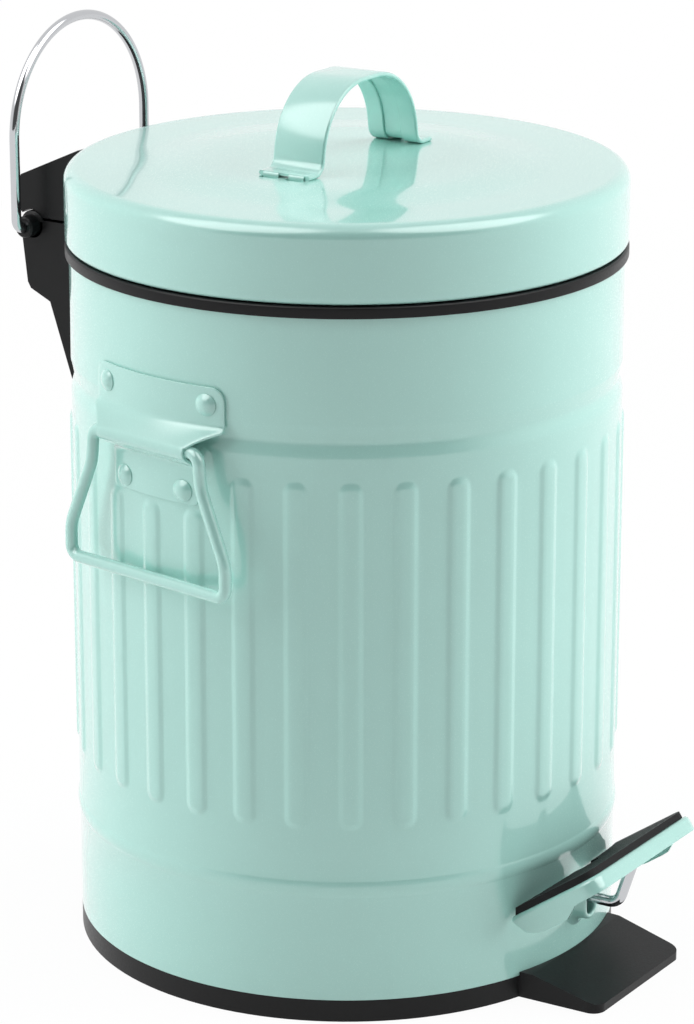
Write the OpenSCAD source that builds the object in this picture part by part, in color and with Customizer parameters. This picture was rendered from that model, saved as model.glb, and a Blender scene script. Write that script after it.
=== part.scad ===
// Retro pedal bin: ribbed steel body on a plastic base, inner bucket, hinged lid
// that a pedal lifts through a rocker and a rod, carry bail and two side handles.
// The origin is on the body's axis at floor level. The pedal points towards -Y,
// the hinge towards +Y, and +Z is up. All lengths are in millimetres.

/* [Body] */
// Outer diameter of the steel body
body_d = 164; // [156:1:176]
// Height of the steel body between base ring and top rim
body_h = 204.5; // [195:0.5:240]
// Thickness of the painted steel sheet
sheet_t = 0.8; // [0.6:0.1:1]
// Height of the lower bead above the body's bottom edge
bead_rise = 34.6; // [28:0.1:40]
// Height of the lower bead
bead_w = 5.3; // [4:0.1:7]
// How far the lower bead stands out
bead_depth = 0.6; // [0.3:0.1:0.9]
// Distance of the upper groove's centre below the body's top edge
groove_drop = 37; // [35:0.5:40]
// Height of the upper groove
groove_w = 10; // [8:0.5:12]
// Depth of the upper groove
groove_depth = 1.5; // [0.8:0.1:1.6]

/* [Ribs] */
// Number of upright ribs around the body
rib_count = 33; // [27:3:39]
// Width of one rib
rib_w = 8; // [6:0.5:9]
// How far a rib stands out
rib_depth = 1.1; // [0.6:0.1:1.3]
// Height of the ribs' lower ends above the body's bottom edge
rib_rise = 52.8; // [48:0.1:60]
// Distance of the ribs' upper ends below the body's top edge
rib_drop = 47.2; // [46:0.1:60]

/* [Base] */
// Visible height of the base ring
base_h = 6.8; // [5:0.1:9]
// Thickness of the base floor
floor_t = 2.5; // [2:0.1:3]
// Height of the spigot that the body slips over, above the base ring
spigot_h = 5.4; // [4:0.1:6]
// Wall of the spigot
spigot_t = 1.5; // [1.2:0.1:2]
// Distance of the foot's front edge from the axis
foot_reach = 104; // [98:1:112]
// Width of the foot at its front edge
foot_w = 51; // [40:1:60]
// Extra width of the foot at its root, both sides together
foot_flare = 2; // [0:0.5:10]
// Thickness of the foot at its front edge
foot_front_t = 2.6; // [2:0.1:4]
// Thickness of the foot at the body
foot_root_t = 8; // [7:0.1:9]
// Corner radius of the foot
foot_corner_r = 4; // [2:0.5:8]

/* [Rim and lid] */
// Height of the black rim that shows between body and lid
rim_h = 3.4; // [2.8:0.1:4.5]
// How far the rim stands out from the body
rim_lip = 1.1; // [0.9:0.05:1.6]
// Depth of the rim's inner skirt below its top
rim_skirt = 8; // [7:0.5:10]
// Height of the lid's side and top, without the dome
lid_h = 22.5; // [20:0.5:28]
// How far the lid's side stands out from the body
lid_lip = 1.1; // [0.8:0.1:1.8]
// Radius of the lid's rounded edge
lid_edge_r = 6; // [5:0.5:9]
// Height of the raised disc on the lid
dome_h = 1.2; // [0.6:0.1:2]
// Radius of the raised disc on the lid
dome_r = 62; // [50:1:66]
// Radius of the lid's rolled lower edge
lid_roll_r = 1.8; // [1.2:0.1:2.4]
// Width of the hem at the lid's lower edge
hem_w = 2.1; // [1.6:0.1:2.4]

/* [Strap handle] */
// Width of the strap
strap_w = 17.4; // [15:0.1:32]
// Thickness of the folded strap
strap_t = 1.4; // [1.2:0.1:2]
// Distance between the strap's legs at the lid
strap_span = 50; // [44:1:70]
// Height of the strap above the lid
strap_rise = 25.4; // [24:0.2:36]
// Length of each flat foot of the strap
strap_foot = 8.5; // [8:0.5:14]

/* [Side handles] */
// Angle of each side handle from the front
handle_angle = 99; // [85:1:105]
// Distance of the handle's pivot below the body's top edge
handle_drop = 40.4; // [38:0.2:44]
// Diameter of the handle wire
handle_wire_d = 3.7; // [3:0.1:4.6]
// Width between the handle's arms at the pivot
handle_top_w = 39.4; // [39:0.2:46]
// Width between the handle's arms at the grip
handle_grip_w = 61; // [58:1:76]
// Distance from the pivot down to the grip
handle_fall = 39.5; // [38:0.5:50]
// Length of the rolled barrel that holds the handle
barrel_l = 34; // [30:1:36]
// Width of the upper bracket plate along the body
plate_w = 50; // [46:1:54]
// Width of the lower bracket plate along the body
tongue_w = 33; // [26:1:36]
// Distance of the bracket's top edge above the pivot
plate_rise = 18.4; // [17.6:0.2:19]
// Distance of the upper rivets below the bracket's top edge
rivet_edge = 5.2; // [4.6:0.1:5.6]
// Distance of the bracket's lower edge below the pivot
tongue_fall = 17; // [15:0.5:20]
// Diameter of the rivet heads
rivet_head_d = 7; // [5:0.5:8]
// Height of the rivet heads
rivet_head_h = 1.7; // [1:0.1:2]
// Diameter of the rivet shanks
rivet_d = 3; // [2.5:0.1:3.4]

/* [Hinge] */
// Distance of the hinge axis behind the body's surface
hinge_back = 15.2; // [15:0.2:20]
// Width of the hinge housing
housing_w = 51; // [44:1:60]
// Height of the hinge housing
housing_h = 61; // [58:1:80]
// Wall of the hinge housing and cover
housing_t = 2; // [1.6:0.1:2.6]
// Radius of the hinge knuckles
knuckle_r = 4.4; // [4:0.1:5]
// Length of the knuckle on the lid cover
knuckle_l = 34; // [24:1:38]
// Diameter of the hinge pin
hinge_pin_d = 3; // [2.5:0.1:3.4]

/* [Carry bail] */
// Diameter of the bail wire
bail_d = 3; // [2.4:0.1:3.4]
// Width between the bail's legs
bail_w = 66; // [62:1:72]
// Height of the bail above its pivot
bail_h = 60; // [50:0.5:80]

/* [Pedal] */
// Width of the pedal
pedal_w = 62; // [50:1:68]
// Distance of the pedal's front edge from the axis
pedal_reach = 104; // [98:1:110]
// Height of the pedal's front edge
pedal_rise = 45.5; // [42:0.5:50]
// Slope of the pedal at rest
pedal_tilt = 35; // [30:1:40]
// Thickness of the pedal's sheet
pedal_t = 1; // [0.8:0.1:1.4]
// Depth of the pedal's turned-down flange along the front
flange_h = 4.8; // [4:0.2:6]
// Depth of the flange's lobes beside the body
lobe_h = 6.2; // [5:0.2:7]
// Corner radius of the pedal
pedal_corner_r = 7; // [4:0.5:10]
// Gap between the pedal and the body
pedal_gap = 1.2; // [1.1:0.1:2]
// Thickness of the rubber pad
pad_t = 2; // [1.6:0.1:3]
// Diameter of the pedal wire
pedal_wire_d = 3.4; // [3:0.1:3.8]
// Height at which the pedal wire leaves the body
wire_exit_z = 24.5; // [23.5:0.1:25]
// Upward slope of the pedal wire inside the body
wire_slope = 1; // [0:1:4]
// How far the pressed spout round the pedal wire stands out
spout_out = 5; // [3:0.5:5.5]

/* [Rocker and lift rod] */
// Distance of the rocker's pivot inside the body's surface
pivot_back = 10; // [9:0.5:12]
// Height of the rocker's pivot
pivot_z = 18; // [17:0.5:19]
// Diameter of the rocker's pin
rocker_pin_d = 3; // [2.5:0.1:3.4]
// Width of the rocker
rocker_w = 10; // [8:0.5:12]
// Diameter of the lift rod
rod_d = 3.2; // [2.6:0.1:3.4]
// Turn of the rocker when the pedal is fully down
pedal_travel = 11; // [8:1:11]

/* [Bucket] */
// Wall of the inner bucket
bucket_t = 1.5; // [1.2:0.1:2]
// Draft of the bucket's wall over its height
bucket_draft = 5.6; // [3:0.1:10]

/* [Clearances] */
// Gap between pieces that move past each other
run_gap = 0.3; // [0.3:0.05:0.4]
// Gap between curved faces that are fixed to each other
seat_gap = 0.1; // [0.05:0.05:0.15]
// Radial clearance of a pin or wire in its bore
pin_gap = 0.08; // [0.05:0.01:0.1]

/* [Hidden] */
$fn = 96;

mint = [0.72, 0.88, 0.84];
black = [0.13, 0.13, 0.14];
chrome = [0.8, 0.81, 0.83];
grey = [0.3, 0.31, 0.32];

body_r = body_d / 2;
body_in_r = body_r - sheet_t;
body_top = base_h + body_h;
above_all = 2 * body_top;
rim_top = body_top + rim_h;
rim_t = 1.5;
rim_in_r = body_in_r - seat_gap - rim_t;
lid_r = body_r + lid_lip;
lid_low = rim_top + run_gap;
lid_top = lid_low + lid_h;
dome_top = lid_top + dome_h;
dome_slope = 6;
hem_h = 1.4;

// Strap handle
strap_tab_x = strap_span / 2 + strap_foot - sheet_t / 2;
strap_tab_w = 6;
strap_lean = 3.5;
tab_drop = 2;

// A rib is a capsule whose axis lies inside the body. Its radius follows from the
// width at the body's surface and the height above it.
rib_chord_y = sqrt(body_r * body_r - rib_w * rib_w / 4);
rib_crest = body_r + rib_depth;
rib_axis = (rib_crest * rib_crest - body_r * body_r) / (2 * (rib_crest - rib_chord_y));
rib_r = rib_crest - rib_axis;
rib_low = base_h + rib_rise;
rib_high = body_top - rib_drop;

// Side handles
handle_z = body_top - handle_drop;
handle_r = handle_wire_d / 2;
handle_out = body_r + rib_depth + run_gap + handle_r;
handle_pin_r = handle_r - 0.03;
barrel_r = handle_pin_r + pin_gap + sheet_t;
plate_in_r = body_r + seat_gap;
plate_out_r = plate_in_r + sheet_t;
plate_top = handle_z + plate_rise;
tongue_low = handle_z - tongue_fall;
rivet_x = [plate_w / 2 - 5.5, tongue_w / 2 - 5];
rivet_z = [plate_top - rivet_edge, tongue_low + 3.9];
hood_top_z = rivet_z[0] - rivet_head_d / 2 - 0.4;
bracket_reach = asin(tongue_w / 2 / body_r) + asin(rib_w / 2 / body_r);

// Hinge
hinge_y = body_r + hinge_back;
hinge_z = body_top - 0.2;
rear_y = hinge_y + 4.2;
housing_top = body_top + 1.6;
cover_low = housing_top + 0.9;
sweep_r = knuckle_r + 0.5;
pin_end = housing_w / 2 - 3.4;
bail_bend_r = 3;
boss_end = bail_w / 2 - bail_bend_r - 0.1;
boss_r = bail_d / 2 + 1.8;
cover_grip = 12;
roof_fall = 11;
screw_d = 3;
screw_head_d = 5.6;
screw_head_h = 2;
recess_l = 3.4;
recess_w = 0.8;
clamp_lift = 0.5;
clamp_h = 10.5;
clamp_in = 13;
clamp_low = lid_low + hem_h + clamp_lift;
clamp_top = clamp_low + clamp_h;
clamp_in_y = body_r - clamp_in;
clamp_w = 32;
clamp_recess = 5;
screw_spare = 2.6;
lid_screw_l = hinge_y - knuckle_r - clamp_in_y - clamp_recess - screw_spare;
lid_screw_z = (clamp_low + clamp_top) / 2 + 0.6;
lid_screw_x = 10;
housing_screw_x = 13;
housing_screw_drop = 16;
housing_screw_l = 14;
housing_screw_z = body_top - housing_screw_drop;

// Pedal mechanism
wire_r = pedal_wire_d / 2;
pivot_reach = body_r - pivot_back;
// The wire's knee lies this share of the way from the body to the pedal's front edge
knee_share = 7 / 11;
wire_run = knee_share * (pedal_reach - body_r);
knee = [-body_r - wire_run, wire_exit_z + wire_run * tan(wire_slope)];
wire_rise_angle = 72;
pedal_depth = pedal_reach - body_r + 20;
socket_front = body_r - 5;
socket_rear = pivot_reach - 4;
socket_in = [-socket_rear - 1.5, wire_exit_z - (body_r - socket_rear - 1.5) * tan(wire_slope)];
rod_in = 6.5;
rod_y = body_r - rod_in;
rocker_end = body_r - 4;
rocker_low = floor_t + 0.7;
rocker_top = rocker_low + 6;
rocker_bend = pivot_reach - 24;
hub_r = 5;
post_t = 4;
post_out = rocker_w / 2 + run_gap + post_t;
rod_lift = (rod_y + pivot_reach) * tan(pedal_travel);
rod_foot_l = 9.5;
rod_foot_z = rocker_top + run_gap + rod_d / 2;
rod_top = clamp_low - run_gap;
guide_inset = [10, 22];
guide_low_z = [bead_rise + guide_inset[0], body_h - guide_inset[1]];
guide_w = 14;
guide_h = 8;
guide_wall = 1.2;
slot_w = pedal_wire_d + 1.4;
slot_low = wire_exit_z - wire_r - (body_r + spout_out - pivot_reach) * sin(pedal_travel) - 0.6;
slot_high = wire_exit_z + wire_r + 0.7;
spout_rim = 1.6;

// Bucket
ledge_top = rim_top - 5.8;
ledge_t = 1.6;
flange_t = 1.6;
bucket_top_r = rod_y - rod_d / 2 - 1.3;
bucket_low = rod_foot_z + rod_lift + rod_d / 2 + 1.6;
flange_r = rim_in_r - 0.5;
rod_notch_w = rod_d + 4;

// Unit vector, turn at a corner and setback of its rounding along a flat path
function unit(v) = v / norm(v);
function turn(p, i) =
    let (a = unit(p[i] - p[i - 1]), b = unit(p[i + 1] - p[i]))
    atan2(a.x * b.y - a.y * b.x, a * b);
function setback(p, radii, i) =
    (i == 0 || i == len(p) - 1) ? 0 : radii[i] * tan(abs(turn(p, i)) / 2);

// The point where a line from q touches the circle about c
function touch_point(c, r, q, side) =
    let (d = q - c, a = atan2(d.y, d.x) - side * acos(r / norm(d)))
    c + r * [cos(a), sin(a)];

// Sweeps a flat, symmetric section along a path in the XY plane with rounded corners
module swept(p, radii) {
    for (i = [0:len(p) - 2]) {
        dir = unit(p[i + 1] - p[i]);
        start = p[i] + setback(p, radii, i) * dir;
        length = norm(p[i + 1] - p[i]) - setback(p, radii, i) - setback(p, radii, i + 1);
        if (length > 0.01)
            translate([start.x, start.y, 0])
                rotate([0, 0, atan2(dir.y, dir.x)])
                    rotate([90, 0, 90])
                        linear_extrude(length) children();
    }
    for (i = [1:len(p) - 2]) {
        angle = turn(p, i);
        dir = unit(p[i] - p[i - 1]);
        start = p[i] - setback(p, radii, i) * dir;
        centre = start + sign(angle) * radii[i] * [-dir.y, dir.x];
        from = atan2(start.y - centre.y, start.x - centre.x);
        translate([centre.x, centre.y, 0])
            rotate([0, 0, angle > 0 ? from : from + angle])
                rotate_extrude(angle = abs(angle))
                    translate([radii[i], 0]) children();
    }
}

// The points of a flat path with its corners rounded, in steps of a given angle
function rounded(p, radii, step) = [
    p[0],
    for (i = [1:len(p) - 2])
        let (
            angle = turn(p, i),
            dir = unit(p[i] - p[i - 1]),
            start = p[i] - setback(p, radii, i) * dir,
            centre = start + sign(angle) * radii[i] * [-dir.y, dir.x],
            steps = max(2, ceil(abs(angle) / step)),
            arm = start - centre
        )
        for (k = [0:steps])
            let (a = angle * k / steps)
            centre + [arm.x * cos(a) - arm.y * sin(a), arm.x * sin(a) + arm.y * cos(a)],
    p[len(p) - 1]
];

// Direction of a line of points at point i
function heading(line, i) =
    let (n = len(line))
    i == 0 ? unit(line[1] - line[0]) :
    i == n - 1 ? unit(line[n - 1] - line[n - 2]) :
    unit(unit(line[i] - line[i - 1]) + unit(line[i + 1] - line[i]));

// The strip between two parallels of a line, at offsets a and b to its left
module band(line, a, b) {
    n = len(line);
    function beside(i, d) = let (h = heading(line, i)) line[i] + d * [-h.y, h.x];
    polygon([
        for (i = [0:n - 1]) beside(i, b),
        for (i = [n - 1:-1:0]) beside(i, a)
    ]);
}

// A round wire along a flat path in the XY plane, as one many-sided solid
module wire(p, radii, r) {
    sides = 20;
    line = rounded(p, radii, 11);
    n = len(line);
    rings = [
        for (i = [0:n - 1], k = [0:sides - 1])
            let (h = heading(line, i), a = 360 * k / sides)
            [line[i].x - h.y * r * cos(a), line[i].y + h.x * r * cos(a), r * sin(a)]
    ];
    walls = [
        for (i = [0:n - 2], k = [0:sides - 1])
            let (next = (k + 1) % sides)
            [i * sides + k, (i + 1) * sides + k, (i + 1) * sides + next, i * sides + next]
    ];
    near_cap = [for (k = [0:sides - 1]) k];
    far_cap = [for (k = [0:sides - 1]) n * sides - 1 - k];
    polyhedron(rings, concat([near_cap], walls, [far_cap]), convexity = 6);
}

// Turns the XY plane of a path into the XZ plane, or into the YZ plane
module upright_xz() rotate([90, 0, 0]) children();
module upright_yz() rotate([90, 0, 90]) children();

// Extrudes a side profile in YZ over a width that is centred on X = 0
module side_profile(width) {
    translate([-width / 2, 0, 0])
        rotate([90, 0, 90])
            linear_extrude(width) children();
}

// A cylinder along X, centred on X = 0
module cross_pin(r, length, y, z) {
    translate([-length / 2, y, z])
        rotate([0, 90, 0])
            cylinder(r = r, h = length);
}

// A cylinder along Y from y0 to y1
module depth_pin(r, x, z, y0, y1) {
    translate([x, y1, z])
        rotate([90, 0, 0])
            cylinder(r = r, h = y1 - y0);
}

// Rectangle with two rounded upper corners, standing on y = 0
module tombstone(w, h, r) {
    translate([-w / 2, 0])
        square([w, h - r]);
    translate([-w / 2 + r, 0])
        square([w - 2 * r, h]);
    for (s = [-1, 1])
        translate([s * (w / 2 - r), h - r])
            circle(r);
}

// ---- Base ----

module foot_outline() {
    root_w = foot_w + foot_flare;
    front = -foot_reach;
    difference() {
        polygon([
            [-root_w / 2, -body_r * 0.6], [root_w / 2, -body_r * 0.6],
            [root_w / 2, -body_r * 0.9], [foot_w / 2, front + foot_corner_r],
            [foot_w / 2 - foot_corner_r, front], [foot_corner_r - foot_w / 2, front],
            [-foot_w / 2, front + foot_corner_r], [-root_w / 2, -body_r * 0.9]
        ]);
        circle(body_r - 1);
    }
    for (s = [-1, 1])
        translate([s * (foot_w / 2 - foot_corner_r), front + foot_corner_r])
            circle(foot_corner_r);
}

module foot() {
    difference() {
        intersection() {
            linear_extrude(foot_root_t) foot_outline();
            side_profile(foot_w + foot_flare + 2)
                polygon([
                    [-foot_reach - 1, 0], [-foot_reach - 1, foot_front_t],
                    [-foot_reach, foot_front_t], [-body_r, foot_root_t],
                    [0, foot_root_t], [0, 0]
                ]);
        }
        // The body stands on the base ring behind the foot's root
        translate([0, 0, base_h])
            cylinder(r = body_r + seat_gap, h = foot_root_t);
    }
}

module base_pan() {
    spigot_r = body_in_r - seat_gap;
    color(black)
    difference() {
        union() {
            cylinder(r = body_r, h = floor_t);
            difference() {
                cylinder(r = body_r, h = base_h);
                translate([0, 0, -1])
                    cylinder(r = spigot_r - spigot_t, h = base_h + 2);
            }
            difference() {
                cylinder(r = spigot_r, h = base_h + spigot_h);
                translate([0, 0, -1])
                    cylinder(r = spigot_r - spigot_t, h = base_h + spigot_h + 2);
            }
            foot();
            for (s = [-1, 1])
                translate([s * (post_out - post_t / 2), -pivot_reach, 0]) {
                    translate([-post_t / 2, -hub_r, 1])
                        cube([post_t, 2 * hub_r, pivot_z - 1]);
                    translate([-post_t / 2, 0, pivot_z])
                        rotate([0, 90, 0])
                            cylinder(r = hub_r, h = post_t);
                }
        }
        cross_pin(rocker_pin_d / 2 + pin_gap, 2 * post_out + 2, -pivot_reach, pivot_z);
    }
}

// ---- Body ----

module bead_sections(add) {
    // The lower bead bulges outwards and the upper groove inwards, both at sheet thickness
    bead_r = (bead_w * bead_w / 4 + bead_depth * bead_depth) / (2 * bead_depth);
    groove_r = (groove_w * groove_w / 4 + groove_depth * groove_depth) / (2 * groove_depth);
    bead_at = [body_r + bead_depth - bead_r, base_h + bead_rise];
    groove_at = [body_r - groove_depth + groove_r, body_top - groove_drop];
    if (add) {
        intersection() {
            translate(bead_at) circle(bead_r);
            translate([body_in_r, 0]) square([5, body_top]);
        }
        intersection() {
            translate(groove_at) circle(groove_r + sheet_t);
            translate([body_r - 5, 0]) square([5, body_top]);
        }
    } else {
        translate(bead_at) circle(bead_r - sheet_t);
        translate(groove_at) circle(groove_r);
    }
}

module shell_section() {
    difference() {
        union() {
            translate([body_in_r, base_h])
                square([sheet_t, body_top + rim_h - rim_t - base_h]);
            bead_sections(true);
        }
        bead_sections(false);
    }
}

// True for a rib that would run under a side handle's bracket
function under_bracket(angle) = abs(abs(angle) - handle_angle) < bracket_reach + 0.5;

module ribs(r) {
    step = 360 / rib_count;
    for (i = [0:rib_count - 1]) {
        angle = i * step > 180 ? i * step - 360 : i * step;
        high = under_bracket(angle) ? tongue_low - 1 : rib_high;
        rotate([0, 0, angle])
            translate([0, -rib_axis, 0]) {
                translate([0, 0, rib_low + rib_w / 2])
                    cylinder(r = r, h = high - rib_low - rib_w);
                translate([0, 0, rib_low + rib_w / 2])
                    sphere(r);
                translate([0, 0, high - rib_w / 2])
                    sphere(r);
            }
    }
}

// Upright rounded bar along Y from y0 to y1, round the slot for the pedal wire
module slot_form(grow, y0, y1) {
    end_r = slot_w / 2;
    for (z = [slot_low + end_r, slot_high - end_r])
        depth_pin(end_r + grow, 0, z, y0, y1);
    translate([-end_r - grow, y0, slot_low + end_r])
        cube([2 * (end_r + grow), y1 - y0, slot_high - slot_low - 2 * end_r]);
}

module body_shell() {
    color(mint)
    difference() {
        union() {
            rotate_extrude() shell_section();
            difference() {
                union() {
                    ribs(rib_r);
                    slot_form(spout_rim, -body_r - spout_out, 4 - body_r);
                }
                cylinder(r = body_in_r + sheet_t / 2, h = body_top);
            }
        }
        ribs(rib_r - sheet_t);
        slot_form(spout_rim - sheet_t, sheet_t - body_r - spout_out, 4 - body_r);
        slot_form(0, -body_r - spout_out - 1, 4 - body_r);
        handle_rivet_shanks(rivet_d / 2 + pin_gap);
        for (s = [-1, 1])
            depth_pin(screw_d / 2 + pin_gap, s * housing_screw_x, housing_screw_z,
                body_r - 10, body_r + 2);
    }
}

// ---- Rim ----

module top_rim() {
    lip_r = body_r + rim_lip;
    color(black)
    difference() {
        rotate_extrude() {
            difference() {
                union() {
                    translate([rim_in_r, rim_top - rim_t])
                        square([lip_r - rim_in_r - rim_t / 2, rim_t]);
                    translate([body_r + seat_gap, body_top])
                        square([rim_lip - seat_gap, rim_h - rim_t / 2]);
                    translate([lip_r - rim_t / 2, rim_top - rim_t / 2])
                        circle(rim_t / 2, $fn = 48);
                    translate([rim_in_r, rim_top - rim_skirt])
                        square([rim_t, rim_skirt]);
                    translate([rim_in_r - 2.3, ledge_top - ledge_t])
                        square([2.8, ledge_t]);
                }
                translate([body_in_r - seat_gap, 0])
                    square([sheet_t + 2 * seat_gap, rim_top - rim_t]);
            }
        }
        translate([-rod_notch_w / 2, rod_y - 6, ledge_top - ledge_t - 1])
            cube([rod_notch_w, rim_in_r - rod_y + 6, ledge_t + 2]);
    }
}

// ---- Lid ----

// Filled outline of the lid, drawn inwards by the given amount
module lid_outline(inset) {
    r = lid_r - inset;
    edge = lid_edge_r - inset;
    roll = lid_roll_r - inset;
    high = lid_top - inset;
    translate([0, lid_low])
        square([r - edge, high - lid_low]);
    translate([0, lid_low])
        square([lid_r - lid_roll_r, lid_roll_r + 1]);
    translate([0, lid_low + lid_roll_r])
        square([r, high - lid_low - lid_roll_r - edge]);
    translate([lid_r - lid_roll_r, lid_low + lid_roll_r])
        circle(roll);
    translate([r - edge, high - edge])
        intersection() {
            circle(edge);
            square(edge + 1);
        }
    polygon([
        [0, high - 1], [dome_r + dome_slope, high - 1], [dome_r + dome_slope, high],
        [dome_r, high + dome_h], [0, high + dome_h]
    ]);
}

module strap_tabs(grow, drop) {
    for (s = [-1, 1], t = [-1, 1])
        translate([s * strap_tab_x - sheet_t / 2 - grow, t * strap_w / 4 - strap_tab_w / 2 - grow,
            dome_top - drop])
            cube([sheet_t + 2 * grow, strap_tab_w + 2 * grow, drop + strap_t / 2]);
}

module lid_shell() {
    color(mint)
    difference() {
        rotate_extrude()
            difference() {
                lid_outline(0);
                difference() {
                    lid_outline(sheet_t);
                    translate([lid_r - sheet_t - hem_w, lid_low])
                        square([hem_w + 1, hem_h]);
                }
                translate([0, lid_low - 1])
                    square([lid_r - sheet_t - hem_w, 2]);
            }
        strap_tabs(0.4, 3);
        for (s = [-1, 1])
            depth_pin(screw_d / 2 + pin_gap, s * lid_screw_x, lid_screw_z,
                clamp_in_y, lid_r + 5);
    }
}

// ---- Strap handle ----

module strap_handle() {
    low = dome_top + strap_t / 2;
    high = dome_top + strap_rise - strap_t / 2;
    foot_end = strap_tab_x + sheet_t / 2;
    leg = strap_span / 2 + strap_t / 2;
    arch_r = leg - strap_lean - 1;
    line = rounded([
        [-foot_end, low], [-leg, low], [-leg + strap_lean, high],
        [leg - strap_lean, high], [leg, low], [foot_end, low]
    ], [0, 4, arch_r, arch_r, 4, 0], 4);
    color(mint) {
        difference() {
            translate([0, strap_w / 2, 0])
                upright_xz()
                    linear_extrude(strap_w)
                        band(line, -strap_t / 2, strap_t / 2);
            // The sheet's edges are folded under, and the middle third stays single
            translate([0, strap_w / 6, 0])
                upright_xz()
                    linear_extrude(strap_w / 3)
                        band(line, -strap_t, 0);
        }
        strap_tabs(0, tab_drop);
        for (s = [-1, 1], t = [-1, 1])
            translate([s * (strap_tab_x - 2) - 2, t * strap_w / 4 - strap_tab_w / 2, dome_top - tab_drop])
                cube([4, strap_tab_w, sheet_t]);
    }
}

// ---- Hinge ----

module hinge_holes(r) cross_pin(r, housing_w + 20, hinge_y, hinge_z);

module hinge_cover() {
    roof_high = lid_top - 1.4;
    outer = rounded([
        [lid_r - cover_grip, cover_low], [hinge_y, cover_low], [hinge_y + 2.5, hinge_z + 2.6],
        [rear_y, hinge_z + knuckle_r - 0.2], [rear_y, lid_top - roof_fall],
        [lid_r, roof_high], [lid_r - cover_grip, roof_high]
    ], [0, 0, 0, 0, 3, 4, 0], 8);
    color(black)
    difference() {
        union() {
            side_profile(housing_w) polygon(outer);
            cross_pin(knuckle_r, knuckle_l, hinge_y, hinge_z);
        }
        // Room for the housing's knuckles at both ends
        for (s = [-1, 1])
            translate([s * (knuckle_l + housing_w) / 2, hinge_y, hinge_z])
                rotate([0, 90, 0])
                    cylinder(r = sweep_r, h = housing_w - 2 * run_gap, center = true);
        // Hollow behind the lid's side, between the walls and the knuckle
        intersection() {
            translate([housing_t - housing_w / 2, 0, cover_low - 1])
                cube([housing_w - 2 * housing_t, hinge_y - knuckle_r - 1, 10]);
            difference() {
                cylinder(r = 2 * lid_r, h = above_all);
                cylinder(r = lid_r + 3, h = above_all);
            }
        }
        rotate_extrude() lid_outline(-seat_gap);
        cylinder(r = body_r + rim_lip + run_gap, h = lid_low);
        hinge_holes(hinge_pin_d / 2 + pin_gap);
        for (s = [-1, 1])
            depth_pin(screw_d / 2, s * lid_screw_x, lid_screw_z, body_r, hinge_y - 4);
    }
}

module lid_clamp_block() {
    color(black)
    difference() {
        intersection() {
            translate([-clamp_w / 2, clamp_in_y, clamp_low])
                cube([clamp_w, lid_r - clamp_in_y, clamp_h]);
            cylinder(r = lid_r - sheet_t - seat_gap, h = above_all);
        }
        for (s = [-1, 1]) {
            depth_pin(screw_d / 2 + pin_gap, s * lid_screw_x, lid_screw_z, 0, lid_r + 5);
            depth_pin(screw_head_d / 2 + 0.4, s * lid_screw_x, lid_screw_z, 0, clamp_in_y + clamp_recess);
        }
    }
}

// Pan-head screw along Y with its head towards the axis
module screw(x, z, head_y, length) {
    difference() {
        union() {
            depth_pin(screw_head_d / 2, x, z, head_y - screw_head_h, head_y);
            depth_pin(screw_d / 2 - 0.02, x, z, head_y - 1, head_y + length);
        }
        // Cross recess
        for (a = [0, 90])
            translate([x, head_y - screw_head_h, z])
                rotate([0, a, 0])
                    cube([recess_l, 0.9 * screw_head_h, recess_w], center = true);
    }
}

module lid_screws() {
    color(chrome)
        for (s = [-1, 1])
            screw(s * lid_screw_x, lid_screw_z, clamp_in_y + clamp_recess, lid_screw_l);
}

module hinge_housing() {
    low = housing_top - housing_h;
    kink = housing_top - 0.42 * housing_h;
    outer = rounded([
        [body_r - 4, housing_top], [hinge_y - 4.8, housing_top], [hinge_y, hinge_z],
        [rear_y, hinge_z], [rear_y - 2, kink], [body_r + 0.4, low], [body_r - 4, low]
    ], [0, 0, 0, 0, 9, 0, 0], 5);
    inner = [
        [body_r - 4, housing_top - housing_t], [hinge_y - 5.6, housing_top - housing_t],
        [hinge_y - 5.6, hinge_z - 5], [rear_y - 2 - housing_t, kink + 2],
        [body_r - 4, low + 7]
    ];
    color(black)
    difference() {
        union() {
            difference() {
                side_profile(housing_w) polygon(outer);
                side_profile(housing_w - 2 * housing_t) polygon(inner);
            }
            // Knuckles that hold the pin, bosses for the bail, posts for the screws
            for (s = [-1, 1]) {
                translate([s * (knuckle_l / 2 + run_gap), hinge_y, hinge_z])
                    rotate([0, s * 90, 0])
                        cylinder(r = knuckle_r, h = housing_w / 2 - knuckle_l / 2 - run_gap);
                translate([s * (knuckle_l / 2 + run_gap), hinge_y, hinge_z])
                    rotate([0, s * 90, 0])
                        cylinder(r = boss_r, h = boss_end - knuckle_l / 2 - run_gap);
                depth_pin(3.4, s * housing_screw_x, housing_screw_z, body_r - 4, rear_y - 3);
            }
        }
        // Room for the knuckle on the cover
        cross_pin(sweep_r, knuckle_l + 2 * run_gap, hinge_y, hinge_z);
        hinge_holes(hinge_pin_d / 2 + pin_gap);
        for (s = [-1, 1])
            depth_pin(screw_d / 2, s * housing_screw_x, housing_screw_z, body_r - 10, rear_y - 7);
        cylinder(r = body_r + seat_gap, h = above_all);
        cylinder(r = rib_crest + seat_gap, h = rib_high + 2);
        translate([0, 0, body_top - 0.5])
            cylinder(r = body_r + rim_lip + seat_gap, h = 10);
    }
}

module housing_screws() {
    color(chrome)
        for (s = [-1, 1])
            screw(s * housing_screw_x, housing_screw_z,
                sqrt(body_in_r * body_in_r - pow(housing_screw_x + screw_head_d / 2, 2)) - 0.05,
                housing_screw_l);
}

module hinge_pin() {
    color(chrome)
        cross_pin(hinge_pin_d / 2, 2 * pin_end - 0.6, hinge_y, hinge_z);
}

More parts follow.
